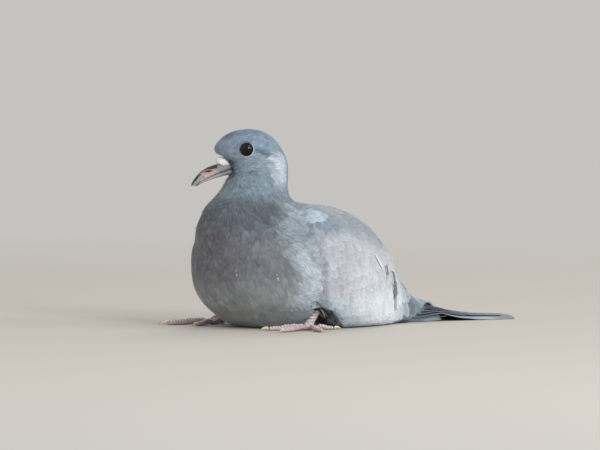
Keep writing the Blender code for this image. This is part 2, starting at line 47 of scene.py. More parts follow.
# The side of a cell of the skin's remesh, and how far the skin runs on under the tail feathers.
SKIN_VOXEL = 1.15
TAIL_STUB = 26.0
# The lowest place that a feather is led along, and the lowest that any part of it may reach.
FLOOR_MARGIN = 1.7
FEATHER_FLOOR = 0.4
# The side of a feather's patch on the OFBake map.
BAKE_PATCH = 0.003

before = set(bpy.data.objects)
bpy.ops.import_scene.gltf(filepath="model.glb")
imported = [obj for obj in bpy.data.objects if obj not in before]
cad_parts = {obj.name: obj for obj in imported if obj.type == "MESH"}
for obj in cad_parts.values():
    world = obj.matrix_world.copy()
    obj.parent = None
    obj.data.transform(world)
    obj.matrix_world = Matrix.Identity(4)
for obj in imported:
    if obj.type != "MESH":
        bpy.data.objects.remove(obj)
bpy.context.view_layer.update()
chance = np.random.default_rng(11)


# ---------------------------------------------------------------- colour and numbers


def linear(code):
    """An sRGB hex colour as linear red, green and blue."""
    parts = np.array([int(code[i : i + 2], 16) / 255 for i in (1, 3, 5)])
    return np.where(parts <= 0.04045, parts / 12.92, ((parts + 0.055) / 1.055) ** 2.4)


def rgba(code):
    """An sRGB hex colour as a linear socket value."""
    return (*linear(code), 1.0)


def over(tone, code, amount):
    """Colours with a hex colour laid over them, by an amount for each point."""
    amount = np.clip(amount, 0, 1)[:, None]
    return tone * (1 - amount) + linear(code) * amount


def layered(base, *coats, shade=1.0):
    """A shaded hex colour for each point, with further hex colours laid over it in turn by amount."""
    tone = np.tile(linear(base), (len(coats[0][1]), 1)) * shade
    for code, amount in coats:
        tone = over(tone, code, amount)
    return tone


def ease(low, high, value):
    """0 at low, 1 at high, with a soft start and end. Low may be the larger."""
    part = np.clip((value - low) / (high - low), 0, 1)
    return part * part * (3 - 2 * part)


def lengthwise(vectors):
    """Vectors scaled to a length of 1."""
    return vectors / np.maximum(np.linalg.norm(vectors, axis=-1, keepdims=True), 1e-9)


# ---------------------------------------------------------------- places taken from the CAD nodes


def middle_of(name):
    """Middle of a CAD node's box, in millimetres."""
    low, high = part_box(name)
    return (np.array(low) + np.array(high)) / 2 / MM


EYES = {"left": middle_of("eye_left"), "right": middle_of("eye_right")}
BETWEEN_EYES = (EYES["left"] + EYES["right"]) / 2
NECK_BEHIND_EYES = 4.65
NECK = middle_of("neck") * (1, 0, 0) + (0, BETWEEN_EYES[1] + NECK_BEHIND_EYES, 0)
AHEAD = lengthwise((middle_of("cere") - BETWEEN_EYES) * (1, 1, 0))
LEFTWARD = np.cross(UP, AHEAD)
FACE = BETWEEN_EYES + AHEAD * 12 - UP * 5
RUMP_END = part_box("tail")[0][1] / MM
TAIL_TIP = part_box("tail")[1][1] / MM


def on_head(points):
    """How far places are ahead of the point between the eyes, across from it and above it."""
    away = points - BETWEEN_EYES
    return away @ AHEAD, np.abs(away @ LEFTWARD), away[:, 2]


def eye_axis(side):
    """The way that an eye looks."""
    return lengthwise(middle_of("eyelid_" + side) - EYES[side])


# ---------------------------------------------------------------- plumage markings

# Neck, breast, belly, flank and mantle.
BREAST_GREY = "#7A7E86"
# Painted shade where the neck meets the breast, under the head.
NECK_FOOT_PAINTED_SHADE = "#5A656E"
BREAST_PURPLE = "#716C77"
# Painted light: the lower breast made lighter, as if lit from low in front.
LOW_BREAST_PAINTED_LIGHT = "#A5ABAE"
BELLY_BLUE = "#9DABB4"
FLANK_BLUE = "#A2B0BA"
# Painted light: the lower flank made paler, as if lit from low in front.
LOW_FLANK_PAINTED_LIGHT = "#CAD6DE"
MANTLE_GREY = "#868F99"
# Closed wing.
COVERT_LILAC = "#ADB0B9"
COVERT_PALE = "#CBD1D8"
BEND_BLUE = "#A9BAC8"
BEND_STREAK = "#7C8B98"
SECONDARY_BLUE = "#DAE6F0"
STREAK_WHITE = "#E8EEF2"
BAR_SLATE = "#3F474F"
# Painted shade for the gap between the flank and the wing.
GAP_PAINTED_SHADE = "#25272A"
# Rump and tail.
RUMP_BLUE = "#93A4B1"
TAIL_BLUE = "#84939E"
TAIL_BAND = "#5B646E"
# Head.
THROAT_BLUE = "#8293A0"
CROWN_BLUE = "#8698AA"
CROWN_TOP = "#6E8095"
CROWN_SMUDGE = "#4E535B"
CHEEK_GREY = "#90A2AF"
# Painted shade along a fold of the feathers under the cheek.
CHEEK_FOLD_PAINTED_SHADE = "#63646C"
NAPE_LILAC = "#C8D2DE"
EYE_STRIPE = "#5F6E7D"
EAR_PALE = "#E6EAEC"
# Painted shade under the chin.
CHIN_PAINTED_SHADE = "#2E3338"
LORE_SHADE = "#4E565D"

# The gap under the wing, sunk into the skin and painted dark as shade: how far behind the neck and how high
# it starts, and how it widens downward.
GAP_START = 5.2
GAP_TOP = 15.5
GAP_REAR_SLOPE = 1.5


def gap_under_wing(y, z, softness=0.9):
    """1 in the wedge that opens between the flank and the wing's lower front edge: the skin there is sunk,
    and painted dark as shade.
    """
    behind_flank = y - GAP_START - 0.70 * (14.7 - z)
    before_wing = GAP_START + GAP_REAR_SLOPE * (GAP_TOP - z) - y
    inside = ease(-softness, softness, behind_flank) * ease(-softness, softness, before_wing)
    return inside * ease(GAP_TOP, GAP_TOP - 2, z)


def edge_of_flank(z):
    """How far behind the neck the flank's loose barbs end at a height: an uneven, wavy edge."""
    return np.interp(z, (6, 15, 20, 26, 32, 38, 47, 56), (9, 5, 8, 8.5, 6, 0, 2, 4))


def off_line(points, start, end):
    """Distance of each place from a straight line between two places of the left side, on both sides."""
    points = np.abs(points * (1, 0, 0)) + points * (0, 1, 1)
    start, end = np.array(start), np.array(end)
    run = end - start
    part = np.clip((points - start) @ run / (run @ run), 0, 1)
    return np.linalg.norm(points - start - part[:, None] * run, axis=1)


def body_marks(points):
    """Painted shade at the neck's foot, breast, belly, flank and mantle, with painted light on the lower
    breast and flank.
    """
    x, y, z = (points - NECK).T
    side = np.abs(x)
    past_flank = y - edge_of_flank(z)
    return (
        # Painted shade at the foot of the neck.
        (NECK_FOOT_PAINTED_SHADE, ease(42, 56, z) * ease(8, -10, y) * 0.85),
        (BREAST_PURPLE, ease(-20, -32, y) * ease(14, 26, z) * ease(60, 48, z) * 0.45),
        # Painted light on the lower breast.
        (LOW_BREAST_PAINTED_LIGHT, ease(32, 12, z) * ease(20, -5, y) * 0.9),
        (BELLY_BLUE, ease(10, 30, y) * ease(16, 4, z)),
        (FLANK_BLUE, ease(-12, 3, y + 0.10 * (z - 30)) * ease(22, 30, side) * ease(64, 52, z)),
        # Painted light on the lower flank.
        (LOW_FLANK_PAINTED_LIGHT, ease(-14, -3, past_flank) * ease(46, 34, z) * ease(9, 16, z) * ease(22, 30, side) * 0.8),
        (MANTLE_GREY, ease(2, 14, y) * ease(30, 40, z + 0.5 * np.maximum(y - 20, 0))),
    )


def wing_marks(points):
    """Lilac and pale coverts, bluish secondaries, and the slate streaks and blue patch at the wing's bend."""
    place = points - NECK
    x, y, z = place.T
    side = np.abs(x)
    outside = ease(22, 30, side)
    past_flank = y - edge_of_flank(z)
    past_gap = y - GAP_START - GAP_REAR_SLOPE * (GAP_TOP - z)
    wing = ease(0.5, 2.5, past_flank) * ease(4, 12, side + 0.16 * (y - 20))
    front_edge = ease(9, 3, past_flank) * ease(26, 32, z) * ease(56, 50, z) * outside
    secondaries = ease(6, 14, past_gap) * ease(20, 10, z - 0.06 * y) * (0.25 + 0.75 * ease(30, 56, y))
    streaks = 0.75 + 0.25 * np.sin(1.9 * (y - 0.6 * z))
    shoulder = off_line(place, (20, 1, 63), (35, 11.5, 58.5))
    return (
        (COVERT_LILAC, wing * ease(60, 44, z + 0.32 * np.maximum(y - 14, 0) - 0.3 * side + 8)),
        (COVERT_PALE, wing * ease(14, 40, y) * ease(46, 30, z) * 0.7),
        (FLANK_BLUE, wing * front_edge * 0.65),
        (BEND_BLUE, wing * ease(15, 8, past_gap) * ease(22, 15, z) * ease(24, 30, side) * 0.75),
        (SECONDARY_BLUE, wing * secondaries),
        (MANTLE_GREY, ease(48, 55, z) * ease(8, 16, y) * 0.9),
        (BEND_STREAK, ease(8.5, 1.5, off_line(place, (38.5, 3, 50), (41, 20, 53))) * streaks),
        (BEND_BLUE, ease(6.4, 3.2, shoulder) * (0.45 + 0.55 * ease(2, 9, y))),
    )


def rear_marks(points):
    """Rump, root of the tail, the two dark spots of the wing bars, and painted shade in the gap under the
    wing.
    """
    x, y, z = (points - NECK).T
    side = np.abs(x)
    behind = y - 80 - 0.75 * z
    long_spot = np.hypot((y - 70) / 0.75, (z - 19.5) / 2.2)
    small_spot = np.hypot((y - 58) / 0.8, (z - 29) / 1.5)
    return (
        (RUMP_BLUE, ease(66, 80, y + 0.5 * z) * ease(26, 15, side)),
        (TAIL_BLUE, ease(0, 3, behind) * (0.35 + 0.65 * ease(9, 14, side))),
        (TAIL_BAND, ease(0, 2, behind) * ease(14, 6, behind) * ease(10, 15, side) * 0.7),
        (BAR_SLATE, ease(5.5, 3.0, long_spot) * ease(14, 20, side) * 0.92),
        (BAR_SLATE, ease(3.0, 1.4, small_spot) * ease(14, 20, side) * 0.75),
        # Painted shade in the gap under the wing.
        (GAP_PAINTED_SHADE, gap_under_wing(y, z) * ease(20, 28, side)),
    )


def head_marks(points):
    """Throat, crown, cheek and nape, and the small marks of the face, with painted shade under the chin and
    along a fold of the cheek.
    """
    front, across, high = on_head(points)
    y, z = (points - NECK).T[1:]
    behind_eye = np.abs(high - 0.5 - 0.58 * (front + 5.4))
    off_fold = np.abs(high + 12.2 + 0.12 * front)
    fold = ease(1.4, 0.4, off_fold) * ease(-7, -4.5, front) * ease(2, -1, front) * ease(3, 6, across)
    ear = np.hypot(front + 12.6, (high + 5.2) * 1.1)
    low_ear = np.hypot(front + 11.8, (high + 8.6) * 1.2)
    lore = ease(4.2, 6.8, front) * ease(12.5, 9.5, across)
    return (
        (THROAT_BLUE, ease(62, 69, z + 0.10 * y)),
        (CROWN_BLUE, ease(-14, -5, high + 0.25 * front)),
        (CROWN_TOP, ease(5.5, 10.5, high + 0.1 * front) * 0.95),
        (CHEEK_GREY, ease(2, -4, high) * ease(-15, -9, high) * ease(-18, -11, front) * 0.7),
        (NAPE_LILAC, ease(-11, -17.5, front) * ease(1, -6, high) * ease(-24, -14, high) * ease(4, 8, across)),
        (EYE_STRIPE, ease(1.7, 0.5, behind_eye) * ease(-3, -5, front) * ease(-14, -10, front) * 0.9),
        (EAR_PALE, ease(1.7, 0.5, ear)),
        (EAR_PALE, ease(1.5, 0.4, low_ear) * 0.6),
        # Painted shade in the cheek's fold.
        (CHEEK_FOLD_PAINTED_SHADE, fold * 0.6),
        (CROWN_SMUDGE, ease(6.0, 0.5, np.hypot(front - 10.0, (high - 8.3) * 1.3)) * 0.7),
        # Painted shade under the chin.
        (CHIN_PAINTED_SHADE, ease(5.5, 7.5, front) * ease(-8.6, -10.2, high) * ease(-15.5, -14.0, high) * 0.85),
        (LORE_SHADE, lore * ease(-3, -7, high) * ease(-16, -12.5, high) * 0.5),
    )


def plumage(points):
    """Linear colour of skin and coat at each point. Each mark lies over the marks before it."""
    marks = body_marks(points) + wing_marks(points) + rear_marks(points) + head_marks(points)
    return layered(BREAST_GREY, *marks)


# ---------------------------------------------------------------- material parts


def add(tree, kind, settings=None, inputs=None):
    """Adds a node, sets its properties, and gives each input a value or a link from a socket."""
    made = tree.nodes.new(kind)
    for name, value in (settings or {}).items():
        setattr(made, name, value)
    for name, value in (inputs or {}).items():
        if isinstance(value, bpy.types.NodeSocket):
            tree.links.new(value, made.inputs[name])
        else:
            made.inputs[name].default_value = value
    return made


def fresh_material(name, surface):
    """A new material, its tree, and the surface shader in it, which takes these values."""
    made = bpy.data.materials.new(name)
    made.use_nodes = True
    tree = made.node_tree
    tree.nodes.clear()
    shader = add(tree, "ShaderNodeBsdfPrincipled", None, surface)
    add(tree, "ShaderNodeOutputMaterial", None, {"Surface": shader.outputs[0]})
    return made, tree, shader


def plumage_finish(tree, shader, height, span, shades, strength, depth_mm):
    """Colours a shader by the stored plumage, shaded by a pattern that also raises the surface."""
    tone = add(tree, "ShaderNodeAttribute", {"attribute_name": "plumage"})
    ends = {1: span[0], 2: span[1], 3: shades[0], 4: shades[1]}
    shade = add(tree, "ShaderNodeMapRange", None, {0: height, **ends})
    scale = {"operation": "SCALE"}
    colour = add(tree, "ShaderNodeVectorMath", scale, {0: tone.outputs["Color"], "Scale": shade.outputs[0]})
    relief = {"Strength": strength, "Distance": depth_mm * MM, "Height": height}
    bump = add(tree, "ShaderNodeBump", None, relief)
    tree.links.new(colour.outputs[0], shader.inputs["Base Color"])
    tree.links.new(bump.outputs[0], shader.inputs["Normal"])


def feather_material(name, barb_mm, contrast, roughness, sheen):
    """Keratin vane: matt barbs that lean away from the shaft, with a faint silky sheen.

    Real barbs lie closer together than barb_mm: they are drawn coarser than real, so that they show.
    """
    surface = {"Roughness": roughness, "Specular IOR Level": 0.25}
    silk = {"Sheen Weight": sheen, "Sheen Roughness": 0.45}
    made, tree, shader = fresh_material(name, {**surface, **silk})
    place = add(tree, "ShaderNodeUVMap", {"uv_map": "Vane"})
    split = add(tree, "ShaderNodeSeparateXYZ", None, {0: place.outputs[0]})
    off_shaft = add(tree, "ShaderNodeMath", {"operation": "ABSOLUTE"}, {0: split.outputs[0]})
    leaning = {0: off_shaft.outputs[0], 1: -0.9, 2: split.outputs[1]}
    lean = add(tree, "ShaderNodeMath", {"operation": "MULTIPLY_ADD"}, leaning)
    turns = {0: lean.outputs[0], 1: 2 * math.pi / barb_mm}
    count = add(tree, "ShaderNodeMath", {"operation": "MULTIPLY"}, turns)
    wave = add(tree, "ShaderNodeMath", {"operation": "SINE"}, {0: count.outputs[0]}).outputs[0]
    plumage_finish(tree, shader, wave, (-1.0, 1.0), (1 - contrast, 1 + contrast / 2), 0.25, 0.05)
    return made


def painted_material(name, roughness, specular, coat, grain_mm, grain, depth_mm):
    """Bare skin or horn coloured by its painted points, with a fine grain in its colour and height."""
    surface = {"Roughness": roughness, "Specular IOR Level": specular}
    gloss = {"Coat Weight": coat, "Coat Roughness": 0.05}
    made, tree, shader = fresh_material(name, {**surface, **gloss})
    place = add(tree, "ShaderNodeTexCoord").outputs["Object"]
    noise = {"Vector": place, "Scale": 1 / (grain_mm * MM), "Detail": 3.0, "Roughness": 0.6}
    speck = add(tree, "ShaderNodeTexNoise", None, noise).outputs[0]
    plumage_finish(tree, shader, speck, (0.3, 0.7), (1 - grain, 1 + grain), 0.6, depth_mm)
    return made


def down_material():
    """Skin under the coat: dull and downy, so that a chink between feathers shows no gloss."""
    made, tree, shader = fresh_material("down_covered_skin", {"Roughness": 0.9})
    tone = add(tree, "ShaderNodeAttribute", {"attribute_name": "plumage"})
    tree.links.new(tone.outputs["Color"], shader.inputs["Base Color"])
    return made


# ---------------------------------------------------------------- copies of CAD nodes


def merged_copy(name, title):
    """A free copy of a CAD node with its loose triangles joined up."""
    made = bpy.data.objects.new(title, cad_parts[name].data.copy())
    bpy.context.scene.collection.objects.link(made)
    made.data.materials.clear()
    work = bmesh.new()
    work.from_mesh(made.data)
    bmesh.ops.remove_doubles(work, verts=work.verts, dist=0.002 * MM)
    bmesh.ops.recalc_face_normals(work, faces=work.faces)
    work.to_mesh(made.data)
    work.free()
    if made.data.has_custom_normals:
        only(made)
        bpy.ops.mesh.customdata_custom_splitnormals_clear()
    return made


def only(made):
    """Selects one object and makes it active."""
    bpy.ops.object.select_all(action="DESELECT")
    made.select_set(True)
    bpy.context.view_layer.objects.active = made


def shade_smooth(made):
    """Draws an object's faces as one smooth surface."""
    only(made)
    bpy.ops.object.shade_smooth()


def finish_with(made, kind, **settings):
    """Adds a modifier and applies it."""
    only(made)
    step = made.modifiers.new(kind.lower(), kind)
    for name, value in settings.items():
        setattr(step, name, value)
    bpy.ops.object.modifier_apply(modifier=step.name)


def join(parts, title):
    """Joins objects into the first of them."""
    bpy.ops.object.select_all(action="DESELECT")
    for part in parts:
        part.select_set(True)
    bpy.context.view_layer.objects.active = parts[0]
    bpy.ops.object.join()
    parts[0].name = title
    return parts[0]


def keep_largest(made):
    """Removes the closed pockets that a remesh leaves inside a body."""
    work = bmesh.new()
    work.from_mesh(made.data)
    left = set(work.verts)
    shells = []
    while left:
        front = [left.pop()]
        shell = list(front)
        while front:
            for edge in front.pop().link_edges:
                for other in edge.verts:
                    if other in left:
                        left.remove(other)
                        front.append(other)
                        shell.append(other)
        shells.append(shell)
    shells.sort(key=len)
    bmesh.ops.delete(work, geom=[vert for shell in shells[:-1] for vert in shell], context="VERTS")
    work.to_mesh(made.data)
    work.free()


def read_rows(items, field, width, kind=float):
    """A field of all of a mesh's points, corners or faces, as the rows of an array."""
    values = np.empty(len(items) * width, kind)
    items.foreach_get(field, values)
    return values.reshape(-1, width)


def corner_places(made):
    """A mesh's points in millimetres, and their normals."""
    points = made.data.vertices
    return read_rows(points, "co", 3) / MM, read_rows(points, "normal", 3)


def move_corners(made, places):
    """Puts a mesh's points at these places, in millimetres."""
    made.data.vertices.foreach_set("co", (places * MM).astype(np.float32).ravel())
    made.data.update()


def paint(made, tones):
    """Stores linear colours on a mesh's points."""
    layer = made.data.color_attributes.new("plumage", "FLOAT_COLOR", "POINT")
    layer.data.foreach_set("color", np.hstack([tones, np.ones((len(tones), 1))]).astype(np.float32).ravel())


def show(made, material, slot, *nodes):
    """Gives a finished piece its finish and its place in the bird."""
    made.data.materials.clear()
    made.data.materials.append(material)
    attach(made, "root")
    if nodes:
        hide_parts(*nodes)


# ---------------------------------------------------------------- skin

FLESH = ("head", "neck", "trunk", "wing_left", "wing_right")
REAR = ("tail", "primaries_left", "primaries_right")
UNDER_LIDS = ("eye_left", "eye_right", "eyelid_left", "eyelid_right")
# How far in the copies of each wing are set that fill the hollow between it and the trunk.
FILLING_DEPTHS = (1.5, 3.0, 4.5)
BELLY_DROP = 1.3
GAP_DEPTH = 2.6


def make_form():
    """The whole bird as one closed body, a coat's depth inside its outline."""
    parts = [merged_copy(name, "form_" + name) for name in FLESH + REAR + UNDER_LIDS]
    for side, name in ((1, "wing_left"), (-1, "wing_right")):
        for depth in FILLING_DEPTHS:
            filling = merged_copy(name, "filling_%s_%g" % (name, depth))
            move_corners(filling, corner_places(filling)[0] - (side * depth, 0, 0))
            parts.append(filling)
    for part in parts:
        finish_with(part, "DISPLACE", strength=CLOSING * MM, mid_level=0.0)
    form = join(parts, "bird_skin")
    finish_with(form, "REMESH", mode="VOXEL", voxel_size=SKIN_VOXEL * MM)
    keep_largest(form)
    finish_with(form, "SMOOTH", factor=0.5, iterations=10)
    finish_with(form, "DISPLACE", strength=-(CLOSING + COAT_DEPTH) * MM, mid_level=0.0)
    finish_with(form, "SMOOTH", factor=0.5, iterations=3)
    finish_with(form, "TRIANGULATE")
    shade_smooth(form)
    bpy.ops.object.mode_set(mode="EDIT")
    bpy.ops.mesh.select_all(action="SELECT")
    bpy.ops.uv.smart_project(angle_limit=math.radians(66), island_margin=0.004)
    bpy.ops.object.mode_set(mode="OBJECT")
    form.data.uv_layers[0].name = "OFBake"
    settle(form)
    return form


def settle(form):
    """Lets the belly down to the floor, and sinks the gap under each wing."""
    places, normals = corner_places(form)
    x, y, z = (places - NECK).T
    places[:, 2] -= BELLY_DROP * ease(9, 3, z)
    sunk = GAP_DEPTH * gap_under_wing(y, z, 1.6) * ease(22, 30, np.abs(x))
    places = places - normals * sunk[:, None]
    places[:, 2] = np.maximum(places[:, 2], 0.1)
    move_corners(form, places)


def draw_in_tail(form):
    """Shortens the skin behind the rump to a small stub, which the tail feathers hide."""
    places, _ = corner_places(form)
    behind = np.maximum(places[:, 1] - RUMP_END + 6, 0)
    places[:, 1] -= behind - TAIL_STUB * (1 - np.exp(-behind / TAIL_STUB))
    slim = ease(0, 60, behind)
    places[:, 0] *= 1 - 0.6 * slim
    places[:, 2] = places[:, 2] * (1 - 0.55 * slim) + 0.8 * slim
    move_corners(form, places)


class Surface:
    """A body as arrays, in millimetres, with nearest places on it."""

    def __init__(self, made):
        mesh = made.data
        self.points, self.normals = corner_places(made)
        self.corners = read_rows(mesh.polygons, "vertices", 3, int)
        self.bake = read_rows(mesh.uv_layers["OFBake"].data, "uv", 2).reshape(-1, 3, 2)
        self.tree = BVHTree.FromPolygons(self.points.tolist(), self.corners.tolist(), all_triangles=True)
        sides = self.points[self.corners]
        across = np.cross(sides[:, 1] - sides[:, 0], sides[:, 2] - sides[:, 0])
        self.areas = np.linalg.norm(across, axis=1) / 2

    def shares(self, place, index):
        """Weights of a triangle's corners at a place on it."""
        a, b, c = np.moveaxis(self.points[self.corners[index]], 1, 0)
        whole = np.cross(b - a, c - a)
        size = np.maximum((whole * whole).sum(1), 1e-12)
        second = (np.cross(place - a, c - a) * whole).sum(1) / size
        third = (np.cross(b - a, place - a) * whole).sum(1) / size
        return np.clip(np.stack([1 - second - third, second, third], 1), 0, 1)

    def smooth_normal(self, index, share):
        """Normals blended from triangles' corners."""
        return lengthwise((self.normals[self.corners[index]] * share[:, :, None]).sum(1))

    def nearest(self, targets):
        """(place, smooth normal, spot on the unwrap) of the skin nearest to each target."""
        hits = [self.tree.find_nearest(target) for target in targets.tolist()]
        place = np.array([hit[0] for hit in hits])
        index = np.array([hit[2] for hit in hits])
        share = self.shares(place, index)
        return place, self.smooth_normal(index, share), (self.bake[index] * share[:, :, None]).sum(1)

    def scatter(self, count):
        """Even random places over the whole skin, and their normals."""
        index = chance.choice(len(self.areas), count, p=self.areas / self.areas.sum())
        first, second = chance.random((2, count))
        flip = first + second > 1
        first, second = np.where(flip, 1 - first, first), np.where(flip, 1 - second, second)
        a, b, c = np.moveaxis(self.points[self.corners[index]], 1, 0)
        place = a + (b - a) * first[:, None] + (c - a) * second[:, None]
        return place, self.smooth_normal(index, np.stack([1 - first - second, first, second], 1))

    def above(self, x, y):
        """The upper side's place over a spot on the floor, and its normal."""
        place, _, index, _ = self.tree.ray_cast((x, y, 300.0), (0, 0, -1))
        index = np.array([index])
        return np.array(place), self.smooth_normal(index, self.shares(np.array([place]), index))[0]


# ---------------------------------------------------------------- lie of the coat

# The ways that the feathers of the closed wing lie, and that the planes of its rows fall.
WING_FALL = lengthwise(np.array((0.0, 0.5, -1.0)))
ROW_FALL = lengthwise(np.array((0.0, 0.22, -1.0)))


def along_skin(flow, normals):
    """Directions turned to run along the skin."""
    return lengthwise(flow - normals * (flow * normals).sum(-1)[..., None])


def lie_at(points, normals):
    """Direction in which the coat lies at each place: away from the bill on the head, then down and back."""
    x, y, z = (points - NECK).T
    head = points - (BETWEEN_EYES + AHEAD * 14 - UP * 7)
    body = np.stack([0 * x, 0.35 + 0.5 * ease(60, 10, z), -1.0 + 0.2 * ease(30, 5, z)], 1)
    neck = np.stack([0.12 * np.sign(x) * ease(0, 6, np.abs(x)), 0.28 + 0 * x, -1 + 0 * x], 1)
    by_head = ease(73, 82, z)[:, None]
    by_neck = ease(60, 68, z)[:, None] * ease(24, 10, y)[:, None]
    flow = lengthwise(body) * (1 - by_neck) + lengthwise(neck) * by_neck
    flow = flow * (1 - by_head) + lengthwise(head) * by_head
    return along_skin(flow, normals)


def jitter(lies, normals, degrees):
    """The lies, each turned a little about its normal."""
    turn = np.radians(degrees) * chance.standard_normal(len(lies))[:, None]
    return lies * np.cos(turn) + np.cross(normals, lies) * np.sin(turn)


def spread_out(points, spacing):
    """Index of the places kept when none may be nearer to another than its spacing."""
    cell = spacing.max()
    around = [(dx, dy, dz) for dx in (-1, 0, 1) for dy in (-1, 0, 1) for dz in (-1, 0, 1)]
    grid, kept = {}, []
    keys = np.floor(points / cell).astype(int).tolist()
    places, limits = points.tolist(), (spacing**2).tolist()
    for i, (a, b, c) in enumerate(keys):
        x, y, z = places[i]
        near = (j for dx, dy, dz in around for j in grid.get((a + dx, b + dy, c + dz), ()))
        if all((x - j[0]) ** 2 + (y - j[1]) ** 2 + (z - j[2]) ** 2 >= limits[i] for j in near):
            grid.setdefault((a, b, c), []).append(places[i])
            kept.append(i)
    return np.array(kept)


def thinned(usable, spacing, *fields):
    """The usable rows of some fields, places first, thinned until no place is too near to another."""
    fields = [field[usable] for field in fields]
    kept = spread_out(fields[0], np.broadcast_to(spacing, len(usable))[usable])
    return [field[kept] for field in fields]


# ---------------------------------------------------------------- feathers


def vane_grid(rows, columns):
    """A flat vane: how far across (-1 to 1) and along (0 to 1) its corners are, and its quads."""
    s, t = np.meshgrid(np.linspace(-1, 1, columns), np.linspace(0, 1, rows))
    first = (np.arange(rows - 1)[:, None] * columns + np.arange(columns - 1)[None, :]).ravel()
    return s.ravel(), t.ravel(), np.stack([first, first + columns, first + columns + 1, first + 1], 1)


def feather_pattern(rows, columns, barbs, split, grip=0.16):
    """Corners of a feather: a closed vane up to its split, then loose barbs to the tip.

    A pattern holds how far across and along each corner is, its barb's number or 0, how far it is on the rim,
    and the quads. A real feather ends in hundreds of barbs, and each barb here stands for a bundle of them.
    """
    s, t, quads = (made.tolist() for made in vane_grid(rows, columns))
    t = [split * along for along in t]
    barb = [0] * len(s)
    for i in range(barbs):
        middle = 2 * (i + 0.5) / barbs - 1
        first = len(s)
        for step in range(3):
            part = step / 2
            half = 1.2 / barbs * (1 - 0.85 * part)
            for edge in (-1, 1):
                s.append(middle * (0.94 + 0.14 * part) + half * edge)
                t.append(split - grip + (1 - split + grip) * part)
                barb.append(i + 1)
        for corner in (first, first + 2):
            quads.append((corner, corner + 2, corner + 3, corner + 1))
    return np.array(s), np.array(t), np.array(barb), np.zeros(len(s)), np.array(quads)


def closed_pattern(rows, columns, rounding=0.18):
    """Corners of a feather whose vane stays whole to its rounded tip."""
    s, t, quads = vane_grid(rows, columns)
    rim = ease(0.80, 1.0, np.maximum(np.abs(s), t))
    t = t * (1 - rounding * (1 - np.sqrt(1 - 0.92 * s * s)))
    return s, t, np.zeros(len(s), int), rim, quads


def mesh_from(name, points, quads, vane, bake, tones, normals):
    """A joined mesh of quads from arrays, with its vane map, bake map, colours and soft normals."""
    mesh = bpy.data.meshes.new(name)
    mesh.vertices.add(len(points))
    mesh.vertices.foreach_set("co", (points * MM).astype(np.float32).ravel())
    mesh.loops.add(quads.size)
    mesh.loops.foreach_set("vertex_index", quads.astype(np.int32).ravel())
    mesh.polygons.add(len(quads))
    mesh.polygons.foreach_set("loop_start", np.arange(0, quads.size, 4, dtype=np.int32))
    mesh.update(calc_edges=True)
    for title, places in (("OFBake", bake), ("Vane", vane)):
        layer = mesh.uv_layers.new(name=title)
        layer.data.foreach_set("uv", places[quads.ravel()].astype(np.float32).ravel())
    made = bpy.data.objects.new(name, mesh)
    bpy.context.scene.collection.objects.link(made)
    paint(made, tones)
    mesh.polygons.foreach_set("use_smooth", np.ones(len(quads), bool))
    mesh.normals_split_custom_set_from_vertices(lengthwise(normals).astype(np.float32).tolist())
    print(name, 2 * len(quads), "triangles")
    return made


def lay_feathers(name, slot, roots, lies, lengths, widths, lift, pattern, base=-0.3, curl=0.20, fray=0.22,
                 mottle=0.07, strand=0.10, fringe=0.08, shaft=0.05, pale_rim=0.0, tint=None):
    """Feathers that follow the skin, each from a root along the lie, its tip over the next one's root.

    Base and lift are the heights of root and tip over the skin, and curl draws the vane's sides back from
    the tip. Fray is how uneven the loose barbs' lengths are. Mottle and strand are how uneven the tones of
    feathers and of barbs are. Fringe lightens the tip, shaft darkens the shaft, and pale_rim lightens the
    rim. A tint is a hex colour and its amount.
    """
    s, t, barb, rim, quads = pattern
    count, strands = len(roots), barb.max() + 1
    lengths, widths, lift = (np.broadcast_to(given, count)[:, None] for given in (lengths, widths, lift))
    _, normal, bake = skin.nearest(roots)
    lies = along_skin(lies, normal)
    aside = np.cross(normal, lies)

    def uneven(lowest, highest):
        """A random amount for each barb of each feather."""
        return np.clip(chance.standard_normal((count, strands)), lowest, highest)[:, barb]

    shape = (0.5 + 0.5 * np.sin(np.pi * np.clip(t, 0, 0.7) / 1.4)) * (1 - 0.30 * ease(0.72, 1.0, t))
    loose = ease(0.5, 1.0, t) * (barb > 0)
    longer = fray * uneven(-1.2, 2.0) * loose
    stray = 0.07 * uneven(-2.0, 2.0) * loose
    along = (t - curl * s * s * t * t) * lengths * (1 + longer)
    across = (s * shape) * widths / 2 + stray * widths
    flat = roots[:, None] + lies[:, None] * along[:, :, None] + aside[:, None] * across[:, :, None]
    flat[:, :, 2] = np.maximum(flat[:, :, 2], FLOOR_MARGIN)
    place, up, _ = skin.nearest(flat.reshape(-1, 3))
    rise = base + (lift - base) * t**0.8 - 0.03 * (s * s) * widths
    points = place + up * rise.reshape(-1, 1)
    points[:, 2] = np.maximum(points[:, 2], FEATHER_FLOOR)
    tone = plumage(roots + lies * lengths * 0.7) * (1 + mottle * chance.standard_normal(count))[:, None]
    if tint is not None:
        tone = over(tone, tint[0], np.broadcast_to(tint[1], count))
    shades = pale_rim * rim + fringe * ease(0.70, 1.0, t) - shaft * ease(0.16, 0.0, np.abs(s)) * (barb == 0)
    shades = 1 + shades + strand * uneven(-1.6, 1.6) * (barb > 0)
    tones = np.clip(tone[:, None] * shades[:, :, None], 0, 1)
    vane = np.stack([across, along], -1).reshape(-1, 2)
    bakes = (bake[:, None] + np.stack([s / 2, t - 0.5], -1) * BAKE_PATCH).reshape(-1, 2)
    all_quads = (quads + np.arange(count)[:, None, None] * len(s)).reshape(-1, 4)
    show(mesh_from(name, points, all_quads, vane, bakes, tones.reshape(-1, 3), up), contour, slot)


# ---------------------------------------------------------------- coat

